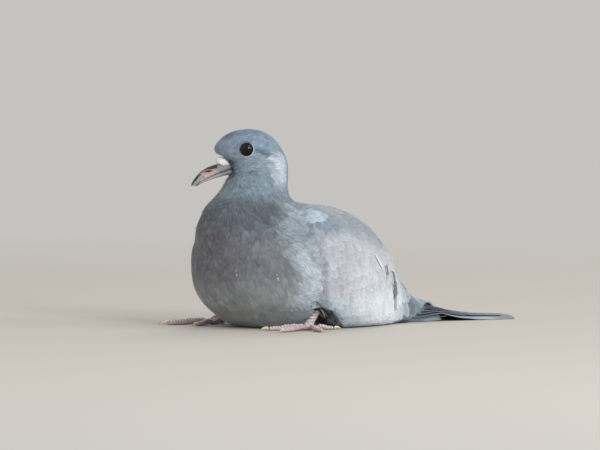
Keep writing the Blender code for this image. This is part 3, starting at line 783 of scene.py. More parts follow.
# How far from an eye's axis feathers may start, and how near their tips may come.
ROOT_CLEARANCE = 4.0
TIP_CLEARANCE = 3.95
# Exposed length and spacing of the wing's topmost feathers, and of those that fill bare places.
SHORT_EXPOSURE = 2.6
SHORT_STRIDE = 2.8
# How far from the gape, or from the chin, its bristles or tufts reach.
TUFT_REACH = 5.6
DOWN_STRAW = "#DDD5AE"


def front_of_wing(z):
    """How far behind the neck the closed wing begins at a height."""
    return 6 + 14 * ease(24, 0, z)


def off_axis(side, points):
    """How far along an eye's axis places are, and the vectors out from it to them."""
    axis = eye_axis(side)
    away = points - EYES[side]
    along = away @ axis
    return along, away - along[:, None] * axis


def eye_clearance(points):
    """Distance of each place from the nearer eye's axis, outside the eye."""
    far = np.full(len(points), 99.0)
    for side in EYES:
        along, out = off_axis(side, points)
        far = np.where(along > 0, np.minimum(far, np.linalg.norm(out, axis=1)), far)
    return far


def part_round_eyes(places, lies, lengths):
    """Turns the lie so that it flows round the eyes, and ends each feather at the lid's edge."""
    for side in EYES:
        along, out = off_axis(side, places)
        radius = np.linalg.norm(out, axis=1)
        near = (along > 0) & (radius < 12)
        out = lengthwise(out)
        inward = np.maximum(-(lies * out).sum(1), 0) * ease(9, 5, radius) * near
        lies = lengthwise(lies + out * inward[:, None])
        for _ in range(8):
            tips = off_axis(side, places + lies * lengths[:, None])[1]
            over_lid = near & (np.linalg.norm(tips, axis=1) < TIP_CLEARANCE)
            lengths = np.where(over_lid, lengths * 0.85, lengths)
    return lies, lengths


def body_coat():
    """Contour feathers of head, neck, breast, flanks and belly: the nearer to the bill, the shorter."""
    places, normals = skin.scatter(240000)
    x, y, z = (places - NECK).T
    face = np.linalg.norm(places - FACE, axis=1)
    by_head = ease(68, 80, z)
    spacing = (2.5 - 0.5 * ease(50, 66, z) - 1.0 * by_head) * (0.78 + 0.22 * ease(5, 18, face))
    usable = (z > 1.0) & (places[:, 1] < RUMP_END) & (eye_clearance(places) > ROOT_CLEARANCE)
    usable &= ~((y > front_of_wing(z) + 2) & (z < 64)) & ~((y > 18) & (z < 70))
    usable &= ~((face < 4.0) & (by_head > 0.5)) & ~((gap_under_wing(y, z) > 0.2) & (np.abs(x) > 24))
    places, normals, spacing = thinned(usable, spacing, places, normals, spacing)
    z = places[:, 2]
    lies = jitter(lie_at(places, normals), normals, 6)
    lengths = spacing * (3.0 + 0.4 * ease(68, 80, z)) * (1 + 0.08 * chance.standard_normal(len(z)))
    lies, lengths = part_round_eyes(places, lies, lengths)
    short, soft = feather_pattern(3, 3, 8, 0.35), feather_pattern(3, 5, 13, 0.5)
    for title, slot, pattern, strand, part in (
        ("coat_head", "blue_grey_feather", short, 0.20, z > 74),
        ("coat_neck", "blue_grey_feather", soft, 0.20, (z <= 74) & (z > 58)),
        ("coat_breast", "brown_grey_feather", soft, 0.11, z <= 58),
    ):
        apart = spacing[part]
        lay_feathers(title, slot, places[part], lies[part], lengths[part], apart * 1.9, 0.22 + 0.10 * apart,
                     pattern, base=-0.05, strand=strand, mottle=0.10)


def wing_rows():
    """Rows of overlapping feathers over back and closed wings: their roots, exposed lengths and spacings."""
    rows = []
    ys = np.arange(NECK[1] + 20, RUMP_END + 26, 1.0)
    ridge = np.array([skin.above(0.0, y)[0] for y in ys])
    falls = ridge @ ROW_FALL
    level, row = falls.min() + 1.0, 0
    while level < falls.max():
        lower = ease(0.05, 0.95, (level - falls.min()) / np.ptp(falls))
        exposure, stride = SHORT_EXPOSURE + 6.4 * lower, SHORT_STRIDE + 2.9 * lower
        start = np.array((0.0, np.interp(level, falls, ridge[:, 1]), np.interp(level, falls, ridge[:, 2])))
        for side in (-1, 1):
            place, up, _ = skin.nearest(start[None])
            reach = stride * (0.5 if row % 2 else 1.0 if side > 0 else 0.0)
            for _ in range(60):
                fall = along_skin(ROW_FALL[None], up)
                target = place + np.cross(up, fall) * -side * reach
                reach = stride
                for _ in range(2):
                    place, up, _ = skin.nearest(target)
                    target = place + along_skin(ROW_FALL[None], up) * (level - place @ ROW_FALL)[:, None]
                _, behind, height = place[0] - NECK
                if height < 2.0 or behind < front_of_wing(height) - 4 or place[0][1] > RUMP_END + 2:
                    break
                rows.append((*place[0], exposure, stride))
        level += exposure
        row += 1
    rows = np.array(rows)
    return rows[:, :3], rows[:, 3], rows[:, 4]


def clear_of(roots, spare, distance):
    """Which spare places lie further than a distance from every root."""
    held = KDTree(len(roots))
    for index, root in enumerate(roots):
        held.insert(root, index)
    held.balance()
    return np.array([held.find(place)[2] > distance for place in spare.tolist()])


def wing_coat():
    """Coverts, mantle and secondaries in rows, with short feathers wherever the rows leave a bare place."""
    roots, exposures, strides = wing_rows()
    roots = roots + 0.13 * strides[:, None] * chance.standard_normal(roots.shape)
    spare, _ = skin.scatter(30000)
    y, z = (spare - NECK).T[1:]
    on_wing = (y > front_of_wing(z) - 4) & (spare[:, 1] < RUMP_END - 10) & (z > 6) & (z < 66)
    spare = spare[on_wing & ((z < 62) | (y > 8))]
    (spare,) = thinned(clear_of(roots, spare, 2.5), 2.2, spare)
    roots = np.concatenate([roots, spare])
    exposures = np.concatenate([exposures, np.full(len(spare), SHORT_EXPOSURE)])
    strides = np.concatenate([strides, np.full(len(spare), SHORT_STRIDE)])
    roots, normals, _ = skin.nearest(roots)
    lies = jitter(along_skin(np.tile(WING_FALL, (len(roots), 1)), normals), normals, 3)
    lengths = exposures * 2.5 * (1 + 0.04 * chance.standard_normal(len(roots)))
    lengths = np.minimum(lengths, np.maximum(RUMP_END + 7 - roots[:, 1], 6))
    ends = roots + lies * 0.7 * lengths[:, None] - NECK
    clear = (gap_under_wing(*(roots - NECK)[:, 1:].T) < 0.3) & (gap_under_wing(*ends[:, 1:].T) < 0.3)
    for title, on_side in (("coat_wing_left", roots[:, 0] > 0), ("coat_wing_right", roots[:, 0] <= 0)):
        part = clear & on_side
        apart = strides[part]
        lay_feathers(title, "pale_wing_feather", roots[part], lies[part], lengths[part], apart * 1.5,
                     0.22 + 0.06 * apart, closed_pattern(9, 7), base=-0.2, fringe=-0.05, mottle=0.055,
                     shaft=0.08, pale_rim=0.28, curl=0.07)


def flank_coat():
    """Long downy barbs of the flank, loose over the wing's front edge."""
    places, normals = skin.scatter(40000)
    x, y, z = (places - NECK).T
    behind = y - edge_of_flank(z)
    usable = (behind > -13) & (behind < -2.5) & (z > 7) & (z < 60) & (np.abs(x) > 26)
    places, normals = thinned(usable, 1.7, places, normals)
    low = 0.5 * ease(34, 18, places[:, 2])
    flow = np.stack([0 * low, 0.9 + low, 0.5 * low - 0.9], 1)
    lies = jitter(along_skin(flow, normals), normals, 9)
    lengths = 7.5 + 0.8 * chance.standard_normal(len(low))
    lay_feathers("coat_flank", "pale_wing_feather", places, lies, lengths, 4.6, 0.95,
                 feather_pattern(3, 5, 8, 0.30), fringe=0.10, fray=0.16, mottle=0.06, shaft=0.0, strand=0.15)


def tertial_coat():
    """Longest inner feathers of the closed wings, which run back over the rump and show the wings' edges."""
    feathers = []
    for side in (-1, 1):
        for number in range(7):
            root, normal = skin.above(side * (7.0 + 1.35 * number), NECK[1] + 36.0 + 4.6 * number)
            lie = along_skin(np.array((side * (0.05 - 0.012 * number), 1.0, -0.55)), normal)
            feathers.append((*root, *lie, 36.0 + 1.6 * number, 0.9 + 0.10 * (6 - number)))
    feathers = np.array(feathers)
    lay_feathers("coat_tertials", "pale_wing_feather", feathers[:, :3], feathers[:, 3:6], feathers[:, 6], 8.6,
                 feathers[:, 7], closed_pattern(18, 9, 0.10), base=-0.2, fringe=-0.10, mottle=0.04,
                 shaft=0.12, pale_rim=0.22, curl=0.04, tint=("#9CA6B1", 0.45))


def rooted(spots, lies):
    """Roots on the skin near places that are given from the neck, and their lies turned along the skin."""
    roots, normals, _ = skin.nearest(np.array(spots) + NECK)
    return roots, along_skin(np.broadcast_to(lies, roots.shape), normals)


def under_wing_coat():
    """Feathers painted dark as shade in the gap between the flank and the wing, each with a thin pale edge.
    """
    spots = [(side * 38.0, 6.5 + 3.6 * i, 14.0 - 2.2 * i) for side in (-1, 1) for i in range(4)]
    lengths = np.tile(15.0 - 2.4 * np.arange(4), 2)
    roots, lies = rooted(spots, (0.0, 0.62, -0.8))
    # The full dark tint is painted shade for the gap; the pale rim is the feathers' own edge.
    lay_feathers("coat_under_wing", "dark_flight_feather", roots, lies, lengths, 3.4, 0.9,
                 closed_pattern(9, 7), base=0.2, mottle=0.1, tint=("#34363A", 1.0), pale_rim=4.0, curl=0.05)


def face_bristles():
    """Short dark bristles over the gape and lores, and pale tufts under the chin."""
    places, normals = skin.scatter(240000)
    front, across, high = on_head(places)
    by_gape = np.hypot(np.hypot((front - 7.4) * 1.6, across - 7.6), (high + 9.0) * 0.8)
    by_chin = np.hypot(np.hypot(front - 6.5, across - 6.5), high + 17.0)
    for title, away, spacing, code, share in (
        ("coat_bristles", by_gape, 0.85, "#26282D", 0.55),
        ("coat_chin_tufts", by_chin, 1.2, "#C6D1D9", 0.35),
    ):
        roots, ups, reach = thinned(away < TUFT_REACH, spacing, places, normals, away)
        lies = jitter(along_skin(np.tile(AHEAD * 0.3 - UP * 0.8, (len(roots), 1)), ups), ups, 28)
        lengths = 2.3 + 0.4 * chance.standard_normal(len(roots))
        amount = (chance.random(len(roots)) < share) * ease(TUFT_REACH, TUFT_REACH - 2, reach)
        lay_feathers(title, "blue_grey_feather", roots, lies, lengths, 0.8, 0.85,
                     feather_pattern(2, 3, 4, 0.12), base=0.15, fray=0.25, mottle=0.15, strand=0.25,
                     tint=(code, amount))


# Place from the neck, lie, length and lift of each wisp of down.
WISPS = (
    ((-24, -22, 60), (-0.5, -0.6, 0.6), 5.0, 1.4),
    ((-27, -24, 52), (-0.6, -0.5, 0.2), 4.0, 1.2),
    ((-29, -26, 41), (-0.7, -0.5, 0.3), 4.5, 1.3),
    ((30, 33, 60), (0.3, 0.5, 1.0), 6.0, 3.0),
    ((32, 60, 32), (0.2, 1.0, 0.6), 7.0, 3.0),
    ((28, 20, 62), (0.3, 0.8, 1.0), 4.0, 2.0),
    ((17.7, -29.1, 31), (0.2, 0.2, -1), 4.2, 0.9),
    ((33.8, -14.7, 29), (0.1, 0.3, -1), 3.6, 0.9),
)


def loose_wisps():
    """Down that a young bird still wears on the tips of its feathers."""
    spots, lies, lengths, lifts = (np.array(column, float) for column in zip(*WISPS))
    roots, lies = rooted(spots, lies)
    lay_feathers("coat_wisps", "pale_wing_feather", roots, lies, lengths, 1.1, lifts,
                 feather_pattern(2, 3, 3, 0.10), base=0.4, fray=0.3, tint=(DOWN_STRAW, 0.85))


def pale_edge(title, spot, lie, length, width, lift):
    """A ruffled, nearly white feather edge at the same place on both wings."""
    roots, lies = rooted([spot, spot * np.array((-1, 1, 1))], lie)
    lay_feathers(title, "pale_wing_feather", roots, lies, length, width, lift, closed_pattern(8, 3), base=0.7,
                 tint=(STREAK_WHITE, 0.9))


# ---------------------------------------------------------------- flight feathers

VANE_THICKNESS = 0.12


def flight_feathers(name, paths, widths, inner_share, colour_of, slot, replaced):
    """Long feathers along paths of (x, y, z), each a cambered vane with a raised shaft."""
    rows, columns = 30, 13
    s, t, quads = vane_grid(rows, columns)
    quads = quads[:, [0, 3, 2, 1]]
    taper = np.sqrt(np.clip(1 - (np.clip(t - 0.86, 0, 1) / 0.143) ** 2, 0, 1))
    outline = (0.45 + 0.55 * ease(0, 0.35, t)) * taper
    feathers = []
    for number, (path, width, inner) in enumerate(zip(paths, widths, inner_share)):
        steps = np.linspace(0, 1, len(path))
        middle = np.stack([np.interp(t, steps, column) for column in path.T], 1)
        ahead = lengthwise(np.stack([np.interp(t, steps, np.gradient(column)) for column in path.T], 1))
        side = lengthwise(np.cross(ahead, UP))
        up = np.cross(side, ahead)
        length = np.linalg.norm(np.diff(path, axis=0), axis=1).sum()
        across = s * outline * np.where(s > 0, inner, 1 - inner) * width
        ragged = 0.25 * np.sin(37 * t + 5 * number) * (np.abs(s) > 0.95) * ease(0.2, 0.4, t)
        across = across + np.sign(s) * ragged * (outline > 0.3)
        shaft = 0.32 * (1 - 0.8 * t) * np.exp(-((across / 0.35) ** 2))
        camber = -0.035 * across**2 * (0.6 + 0.4 * t)
        place = middle + side * across[:, None] + up * (shaft + camber)[:, None]
        place[:, 2] = np.maximum(place[:, 2], 0.22 + 0.05 * number / len(paths))
        root = skin.nearest(place[columns // 2][None])[2]
        bake = root + np.stack([s / 2, t - 0.5], 1) * BAKE_PATCH + number * 0.0002
        vane = np.stack([across, t * length], 1)
        tone = np.clip(colour_of(s, t, number, across), 0, 1)
        normal = lengthwise(up + side * (0.10 * s)[:, None])
        feathers.append((place, quads + number * len(s), vane, bake, tone, normal))
    made = mesh_from(name, *(np.concatenate(arrays) for arrays in zip(*feathers)))
    finish_with(made, "SOLIDIFY", thickness=VANE_THICKNESS * MM, offset=-1.0)
    show(made, flight, slot, *replaced)


def tail_colour(s, t, number, across):
    """Blue-grey, with a paler zone before the dark end band, and a dark shaft."""
    return layered(
        TAIL_BLUE,
        ("#98A7B2", ease(0.52, 0.62, t) * ease(0.80, 0.70, t) * 0.6),
        (TAIL_BAND, ease(0.74, 0.86, t + 0.02 * s * s) * 0.9),
        ("#3E454D", ease(0.45, 0.2, np.abs(across)) * 0.7),
        shade=1 + 0.03 * math.sin(3.1 * number),
    )


def primary_colour(s, t, number, across):
    """Dark slate with a paler outer edge."""
    return layered(
        "#5C6670",
        ("#A3B0BA", ease(0.80, 0.97, np.abs(s)) * 0.55),
        ("#33393F", ease(0.45, 0.2, np.abs(across)) * 0.7),
        shade=1 + 0.05 * math.sin(2.3 * number),
    )


def top_of_tail(x, y):
    """Heights of the tail node's upper side over spots. Spots before the tail take its root's height."""
    spots = zip(x * MM, np.maximum(y, RUMP_END + 1) * MM)
    hits = [tail_tree.ray_cast((*spot, 0.2), (0, 0, -1))[0] for spot in spots]
    return np.array([hit[2] / MM if hit else 0.9 for hit in hits])


def tail_feathers():
    """Twelve tail feathers, the middle pair on top."""
    paths, inner = [], []
    part = np.linspace(0, 1, 12)
    for i in sorted(range(12), key=lambda number: -abs(number - 5.5)):
        out = i - 5.5
        tip_y = TAIL_TIP - 0.4 - 0.20 * out * out
        x = out * (1.1 + 2.1 * part)
        y = RUMP_END - 5 + (tip_y - RUMP_END + 5) * part
        z = top_of_tail(x * 0.9, y) - 0.14 * abs(out) + 0.1
        paths.append(np.stack([x, y, np.maximum(z, 0.45)], 1))
        inner.append(0.5 + 0.02 * out)
    flight_feathers("tail_feathers", paths, [11.5] * 12, inner, tail_colour, "blue_grey_feather", ("tail",))


def primary_feathers(side, name):
    """The folded wing tip: six primaries, the longest lowest, over the side of the tail."""
    paths, widths = [], []
    part = np.linspace(0, 1, 10)
    for layer in range(6):
        tip_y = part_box("primaries_" + name)[1][1] / MM - 5.5 * layer
        x = side * (12.5 - 1.6 * part + 2.4 * part * part - 0.5 * layer)
        y = RUMP_END - 20 + (tip_y - RUMP_END + 20) * part
        z = np.maximum(top_of_tail(x, y), 1.2) + 0.7 + 0.28 * layer - 0.6 * part
        paths.append(np.stack([x, y, z], 1))
        widths.append(9.5 - 0.3 * layer)
    inner = [0.5 - 0.2 * side] * len(paths)
    flight_feathers("primary_feathers_" + name, paths, widths, inner, primary_colour,
                    "dark_flight_feather", ("primaries_" + name,))


# ---------------------------------------------------------------- head, bill and feet

EYEBALL_BLACK = "#050404"
IRIS_DARK = "#0C0807"
EYE_RIM = "#141110"
LID_BLUE = "#64717D"
LID_PALE = "#D0D9DE"
LID_FOLD = "#5F6A74"
TOES = ("inner", "middle", "outer", "hind")
# The spacing of the plates over a toe, and how far a plate arches and a groove sinks.
SCUTE_LENGTH = 1.55
SCUTE_ARCH = 0.10
GROOVE_DEPTH = 0.13
# The lowest that skin of the feet may reach.
SOLE = 0.02


def ripple(points, size, turn=0.0):
    """A smooth blotchy field from -1 to 1 with blotches of about that many millimetres."""
    x, y, z = (points * (2 * math.pi / size)).T
    a = np.sin(0.91 * x + 0.37 * y + 1.7 + turn) + np.sin(0.83 * y - 0.41 * z + 0.4 - turn)
    b = np.sin(0.77 * z + 0.52 * x + 2.9 * turn) + np.sin(1.31 * x - 0.66 * y + 0.8 * z + 5.1)
    return (a + b) / 4


def band(value, middle, width):
    """1 at the middle of a soft band, and near 0 further off than its width."""
    return np.exp(-(((value - middle) / width) ** 2))


def refined(names, title, voxel, smoothing, swell=0.0):
    """CAD nodes joined into one fine, smooth, closed body."""
    made = join([merged_copy(name, "fine_" + name) for name in names], title)
    if swell:
        finish_with(made, "DISPLACE", strength=swell * MM, mid_level=0.0)
    finish_with(made, "REMESH", mode="VOXEL", voxel_size=voxel * MM)
    keep_largest(made)
    finish_with(made, "SMOOTH", factor=0.5, iterations=smoothing)
    if swell:
        finish_with(made, "DISPLACE", strength=-swell * MM, mid_level=0.0)
    shade_smooth(made)
    return made


def eye_radius(side):
    """Radius of an eye's node."""
    low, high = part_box("eye_" + side)
    return (high[2] - low[2]) / 2 / MM


def set_in_socket(made, places, side):
    """Puts a mesh that was made round Z at an eye, turned the way that it looks."""
    turn = np.array(Vector(eye_axis(side)).to_track_quat("Z", "Y").to_matrix())
    move_corners(made, places @ turn.T + EYES[side])


def make_eyeball(side):
    """A wet, nearly black eye with its cornea a little proud."""
    radius = eye_radius(side)
    bpy.ops.mesh.primitive_uv_sphere_add(segments=64, ring_count=40, radius=radius * MM)
    ball = bpy.context.object
    ball.name = "eyeball_" + side
    places, _ = corner_places(ball)
    away = np.degrees(np.arccos(np.clip(places[:, 2] / radius, -1, 1)))
    set_in_socket(ball, places * (1 + 0.035 * ease(46, 20, away)[:, None]), side)
    spread = radius * np.sin(np.radians(np.minimum(away, 90)))
    paint(ball, layered(
        EYEBALL_BLACK,
        (IRIS_DARK, ease(1.9, 2.2, spread) * ease(3.5, 2.9, spread)),
        (EYE_RIM, ease(3.4, 3.8, spread)),
    ))
    shade_smooth(ball)
    show(ball, wet_eye, "dark_wet_eye", "eye_" + side)


def make_lid_ring(side, title, around, thickness, height):
    """A thin creased ring of skin round the eyeball."""
    bpy.ops.mesh.primitive_torus_add(
        major_segments=96, minor_segments=12, major_radius=around * MM, minor_radius=thickness * MM
    )
    ring = bpy.context.object
    ring.name = title
    places, normals = corner_places(ring)
    angle = np.arctan2(places[:, 1], places[:, 0])
    crease = 0.025 * np.sin(41 * angle) + 0.03 * np.sin(23 * angle + 1.3)
    places = places + normals * crease[:, None]
    places[:, 2] += math.sqrt(eye_radius(side) ** 2 - around**2) + height
    set_in_socket(ring, places, side)
    return ring


def make_lids(side):
    """The lid's rim and the fold outside it, with a pale crescent on the rim."""
    rings = [make_lid_ring(side, "lid", 3.66, 0.24, 0.06), make_lid_ring(side, "fold", 4.06, 0.24, -0.20)]
    lid = join(rings, "lids_" + side)
    out = off_axis(side, corner_places(lid)[0])[1]
    angle = np.degrees(np.arctan2(out[:, 2], -(out @ AHEAD)))
    crescent = (0.5 + 0.5 * np.cos(np.radians(angle + 40))) ** 3
    fold = ease(4.1, 4.5, np.linalg.norm(out, axis=1)) * 0.6
    paint(lid, layered(LID_BLUE, (LID_PALE, crescent), (LID_FOLD, fold)))
    shade_smooth(lid)
    show(lid, lid_skin, "blue_grey_lid_skin", "eyelid_" + side)


def bill_places(made):
    """A bill part's points and normals, and each point's reach ahead, side and drop below the ridge."""
    places, normals = corner_places(made)
    from_cere = places - middle_of("cere")
    ahead, side = from_cere @ AHEAD, from_cere @ LEFTWARD
    steps = np.arange(-6, 22, 0.6)
    tops = [places[np.abs(ahead - step) < 0.7, 2].max(initial=60) for step in steps]
    return places, normals, ahead, side, np.interp(ahead, steps, tops) - places[:, 2]


def make_upper_bill():
    """Slim juvenile bill: dark ridge, slit nostrils with a swollen rim, and a pale hooked tip."""
    upper = refined(("bill_upper",), "upper_bill", 0.26, 6)
    places, normals, ahead, _, drop = bill_places(upper)
    slit = np.hypot((ahead - 8.2) / 1.9, (drop - 2.5 + 0.25 * (ahead - 8.2)) / 0.42)
    rim = band(slit, 1.9, 0.6)
    places = places + normals * (-0.55 * ease(1.3, 0.5, slit) + 0.12 * rim)[:, None]
    places[:, 2] -= 0.50 * ease(-0.2, -0.6, normals[:, 2]) * ease(16, 13, ahead)
    move_corners(upper, places)
    paint(upper, layered(
        "#A99C9A",
        ("#8F939D", ease(6, 1, ahead)),
        ("#CBBBB6", band(drop, 4.2, 1.0) * ease(3, 6, ahead) * 0.7),
        ("#8E969C", ease(10.5, 13.5, ahead) * 0.8),
        ("#8A7B7C", 0.6 * ease(0.1, 0.8, ripple(places, 2.6))),
        ("#2B2425", ease(2.8, 1.7, drop) * ease(2.6, 4.4, ahead)),
        ("#D3B3AF", rim * 0.5),
        ("#2B2022", ease(1.25, 0.7, slit)),
        ("#201E23", ease(12.8, 14.4, ahead) * ease(3.2, 2.0, drop)),
        ("#ECE8CE", ease(74.4, 73.0, places[:, 2]) * ease(14.5, 15.5, ahead)),
    ))
    show(upper, bill_horn, "pinkish_bill_horn", "bill_upper")


def make_lower_bill():
    """The lower half, which closes up against the upper one, darker at root and tip."""
    lower = refined(("bill_lower",), "lower_bill", 0.26, 5)
    places, normals, ahead = bill_places(lower)[:3]
    places[:, 2] += 0.35 * ease(0.2, 0.6, normals[:, 2])
    move_corners(lower, places)
    paint(lower, layered("#A69EA3", ("#82838C", ease(4, -1, ahead)), ("#5B5055", ease(12, 15, ahead))))
    show(lower, bill_horn, "pinkish_bill_horn", "bill_lower")


def make_cere():
    """Two soft, lumpy white lobes over the bill's base, parted by a groove."""
    cere = refined(("cere",), "cere_lobes", 0.22, 4)
    places, normals, ahead, side, _ = bill_places(cere)
    lump = 0.34 + 0.30 * ripple(places, 1.7) + 0.12 * ripple(places, 0.8, 2.0)
    lump = lump - 0.45 * band(side, 0, 0.5) * ease(-3, 2, ahead)
    move_corners(cere, places + normals * lump[:, None] - UP * (0.55 * ease(2, -4, ahead))[:, None])
    paint(cere, layered(
        "#E4E5DC",
        ("#F6F6EE", 0.5 + ripple(places, 1.1)),
        ("#A9ABA8", ease(0.1, 0.8, ripple(places, 0.9, 1.0)) * 0.5),
        ("#8D8A8C", ease(-2.6, -3.8, ahead)),
    ))
    show(cere, cere_powder, "white_cere_skin", "cere")


def hub_of(side, name):
    """Where a foot's toes meet."""
    inner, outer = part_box("toe_inner_" + name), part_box("toe_outer_" + name)
    ends = (inner[1][0], outer[0][0]) if side > 0 else (inner[0][0], outer[1][0])
    return np.array((sum(ends) / 2 / MM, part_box("toe_middle_" + name)[1][1] / MM + 3.5, 1.5))


def make_foot(side, name):
    """Leg and four toes in one scaly skin: arched plates above, blotchy colour, fine pads below."""
    toes = ["toe_%s_%s" % (toe, name) for toe in TOES]
    foot = refined(["shank_" + name] + toes, "foot_" + name, 0.32, 3, swell=0.45)
    places, normals = corner_places(foot)
    away = places - hub_of(side, name)
    reach = np.hypot(away[:, 0], away[:, 1])
    reach = np.where(places[:, 2] > 4.2, places[:, 2] * 1.1 + 3, reach)
    scute = (reach / SCUTE_LENGTH) % 1.0
    upper_side = ease(-0.1, 0.45, normals[:, 2])
    groove = ease(0.30, 0.0, np.minimum(scute, 1 - scute)) * upper_side
    arch = np.sin(np.pi * scute) * upper_side
    pad = 0.07 * ripple(places, 0.9) * ease(0.1, -0.4, normals[:, 2])
    places = places + normals * (SCUTE_ARCH * arch - GROOVE_DEPTH * groove + pad)[:, None]
    places[:, 2] = np.maximum(places[:, 2], SOLE)
    move_corners(foot, places)
    paint(foot, layered(
        "#C3ADB1",
        ("#D8CDD2", ease(0.2, 0.6, arch) * 0.6),
        ("#A67F84", ease(0.1, 0.9, ripple(places, 4.0)) * 0.45),
        ("#5B4742", groove * 0.8),
        ("#8E7270", ease(0.0, -0.5, normals[:, 2]) * 0.5),
    ))
    show(foot, toe_skin, "pink_toe_scale", "shank_" + name, *toes)
    for toe in TOES:
        make_claw("claw_%s_%s" % (toe, name), hub_of(side, name))


def make_claw(title, hub):
    """A curved horn claw, pinker at its root and darker at its tip."""
    claw = refined((title,), title + "_horn", 0.16, 4)
    places, _ = corner_places(claw)
    out = (places - middle_of(title)) @ lengthwise((middle_of(title) - hub) * (1, 1, 0))
    places[:, 2] = np.maximum(places[:, 2], SOLE)
    move_corners(claw, places)
    dark_tip, pink_root = ease(0.6, 2.4, out) * 0.7, ease(-0.8, -2.0, out) * 0.8
    paint(claw, layered("#CFC5A4", ("#8F8470", dark_tip), ("#B9A6A0", pink_root)))
    show(claw, claw_horn, "pale_claw_horn", title)


# ---------------------------------------------------------------- light, floor and camera

FLOOR_PALE = "#BFBBB4"
AIR_PALE = "#DAD8D4"
AIR_STRENGTH = 0.8
FLOOR_RADIUS = 9
# How far from the bird, in metres, the floor starts to fade into the air, and is gone.
FADE = (0.35, 1.5)
# Each soft lamp's place and width in metres, and its power in watts.
LAMPS = (
    ("sky", (1.35, 0.15, 1.75), 1.1, 8),
    ("front", (0.2, -1.9, 1.0), 2.4, 6),
    ("rim", (-1.0, 1.5, 1.5), 1.2, 12),
    ("key", (1.80, -0.43, 0.78), 0.50, 17),
    ("side", (1.55, 0.74, 0.72), 0.42, 5.5),
)
LAMP_AIM = Vector((0, 0, 0.05))
# The camera looks from low on the bird's front left: degrees round and up, metres, and its sensor in mm.
AZIMUTH = 50
ELEVATION = 2
CAMERA_DISTANCE = 3.0
CAMERA_AIM = Vector((0.0144, -0.0508, 0.0533))
VIEW_WIDTH = 0.312
SENSOR_WIDTH = 36


def stand(made, place, way):
    """Puts a lamp or a camera at a place, looking one way."""
    made.location = place
    made.rotation_euler = way.to_track_quat("-Z", "Y").to_euler()
    bpy.context.scene.collection.objects.link(made)


def floor_material():
    """Matt painted board without gloss, which fades into the air far out, so that no horizon shows."""
    surface = {"Base Color": rgba(FLOOR_PALE), "Roughness": 0.9}
    made, tree, shader = fresh_material("matt_painted_floor", surface)
    place = add(tree, "ShaderNodeTexCoord").outputs["Object"]
    reach = add(tree, "ShaderNodeVectorMath", {"operation": "LENGTH"}, {0: place}).outputs["Value"]
    soft = {"interpolation_type": "SMOOTHSTEP"}
    far = add(tree, "ShaderNodeMapRange", soft, {0: reach, 1: FADE[0], 2: FADE[1]}).outputs[0]
    air = add(tree, "ShaderNodeEmission", None, {"Color": rgba(AIR_PALE), "Strength": AIR_STRENGTH})
    both = add(tree, "ShaderNodeMixShader", None, {0: far, 1: shader.outputs[0], 2: air.outputs[0]})
    end = next(part for part in tree.nodes if part.type == "OUTPUT_MATERIAL")
    tree.links.new(both.outputs[0], end.inputs["Surface"])
    return made


def make_stage():
    """A wide pale floor, even air, soft lamps and the camera."""
    bpy.ops.mesh.primitive_circle_add(vertices=96, radius=FLOOR_RADIUS, fill_type="NGON", location=(0, 0, 0))
    floor = bpy.context.object
    floor.name = "studio_floor"
    floor.data.materials.append(floor_material())
    world = bpy.data.worlds.new("studio_air")
    world.use_nodes = True
    air = world.node_tree.nodes["Background"]
    air.inputs[0].default_value = rgba(AIR_PALE)
    air.inputs[1].default_value = AIR_STRENGTH
    bpy.context.scene.world = world
    for name, place, width, power in LAMPS:
        lamp = bpy.data.objects.new(name, bpy.data.lights.new(name, "AREA"))
        lamp.data.energy = power
        lamp.data.size = width
        stand(lamp, Vector(place), LAMP_AIM - Vector(place))
    azimuth, elevation = math.radians(AZIMUTH), math.radians(ELEVATION)
    level = math.cos(elevation)
    back = Vector((math.sin(azimuth) * level, -math.cos(azimuth) * level, math.sin(elevation)))
    camera = bpy.data.objects.new("camera", bpy.data.cameras.new("camera"))
    camera.data.sensor_width = SENSOR_WIDTH
    camera.data.lens = SENSOR_WIDTH * CAMERA_DISTANCE / VIEW_WIDTH
    camera.data.clip_end = 60
    stand(camera, CAMERA_AIM + back * CAMERA_DISTANCE, -back)
    bpy.context.scene.camera = camera
    bpy.context.scene.view_settings.view_transform = "Standard"


# ---------------------------------------------------------------- the bird, put together

make_stage()

skin_object = make_form()
skin = Surface(skin_object)
draw_in_tail(skin_object)
paint(skin_object, plumage(corner_places(skin_object)[0]))
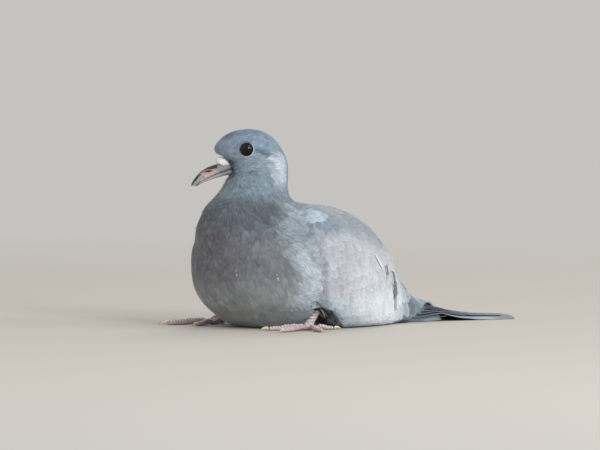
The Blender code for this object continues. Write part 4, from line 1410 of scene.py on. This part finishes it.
# Soft body feather: loose matt barbs, with some silk at a glancing angle.
contour = feather_material("keratin_contour_vane", 0.55, 0.10, 0.72, 0.25)
show(skin_object, down_material(), "blue_grey_feather", *FLESH)

# Flight feather: barbs hooked tight into a smoother, slightly glossier vane.
flight = feather_material("keratin_flight_vane", 0.8, 0.07, 0.55, 0.15)
tail_copy = merged_copy("tail", "tail_guide")
tail_tree = BVHTree.FromObject(tail_copy, bpy.context.evaluated_depsgraph_get())
bpy.data.objects.remove(tail_copy)

# A tear film over a dark iris: mirror-smooth, so that it holds the lamps as small bright spots.
wet_eye = painted_material("wet_cornea_over_dark_iris", 0.03, 0.30, 0.0, 0.8, 0.05, 0.0)
# Bare lid skin, finely creased: a dull, slightly waxy rim.
lid_skin = painted_material("bare_lid_skin_fine_creases", 0.55, 0.4, 0.0, 0.25, 0.12, 0.04)
# Horn laid down in thin layers and rubbed smooth in use: a low gloss over a cloudy colour.
bill_horn = painted_material("thin_bill_horn_grown_in_layers", 0.38, 0.5, 0.12, 0.6, 0.10, 0.03)
# Soft skin under a bloom of powder down: chalky, without gloss. Its grain is drawn coarser than real.
cere_powder = painted_material("powdery_cere_skin", 0.85, 0.3, 0.0, 0.28, 0.10, 0.08)
# Dry skin hardened into plates: a faint gloss on each plate, broken by a fine grain.
toe_skin = painted_material("toe_skin_with_scutes", 0.50, 0.45, 0.0, 0.35, 0.10, 0.04)
# Claw keratin worn smooth by the ground: a small soft gleam along the top.
claw_horn = painted_material("pale_claw_keratin", 0.35, 0.5, 0.1, 0.5, 0.08, 0.02)

body_coat()
wing_coat()
flank_coat()
tertial_coat()
under_wing_coat()
face_bristles()
loose_wisps()
pale_edge("coat_ruffled_edge", (42, 45.5, 38.0), (0.0, 0.62, -0.6), 11.5, 1.5, 1.0)
pale_edge("coat_gap_edge", (38.5, 6.6, 14.6), (0.0, 0.64, -0.77), 16.0, 0.9, 1.5)
tail_feathers()
primary_feathers(1, "left")
primary_feathers(-1, "right")
for eye in EYES:
    make_eyeball(eye)
    make_lids(eye)
make_upper_bill()
make_lower_bill()
make_cere()
make_foot(1, "left")
make_foot(-1, "right")
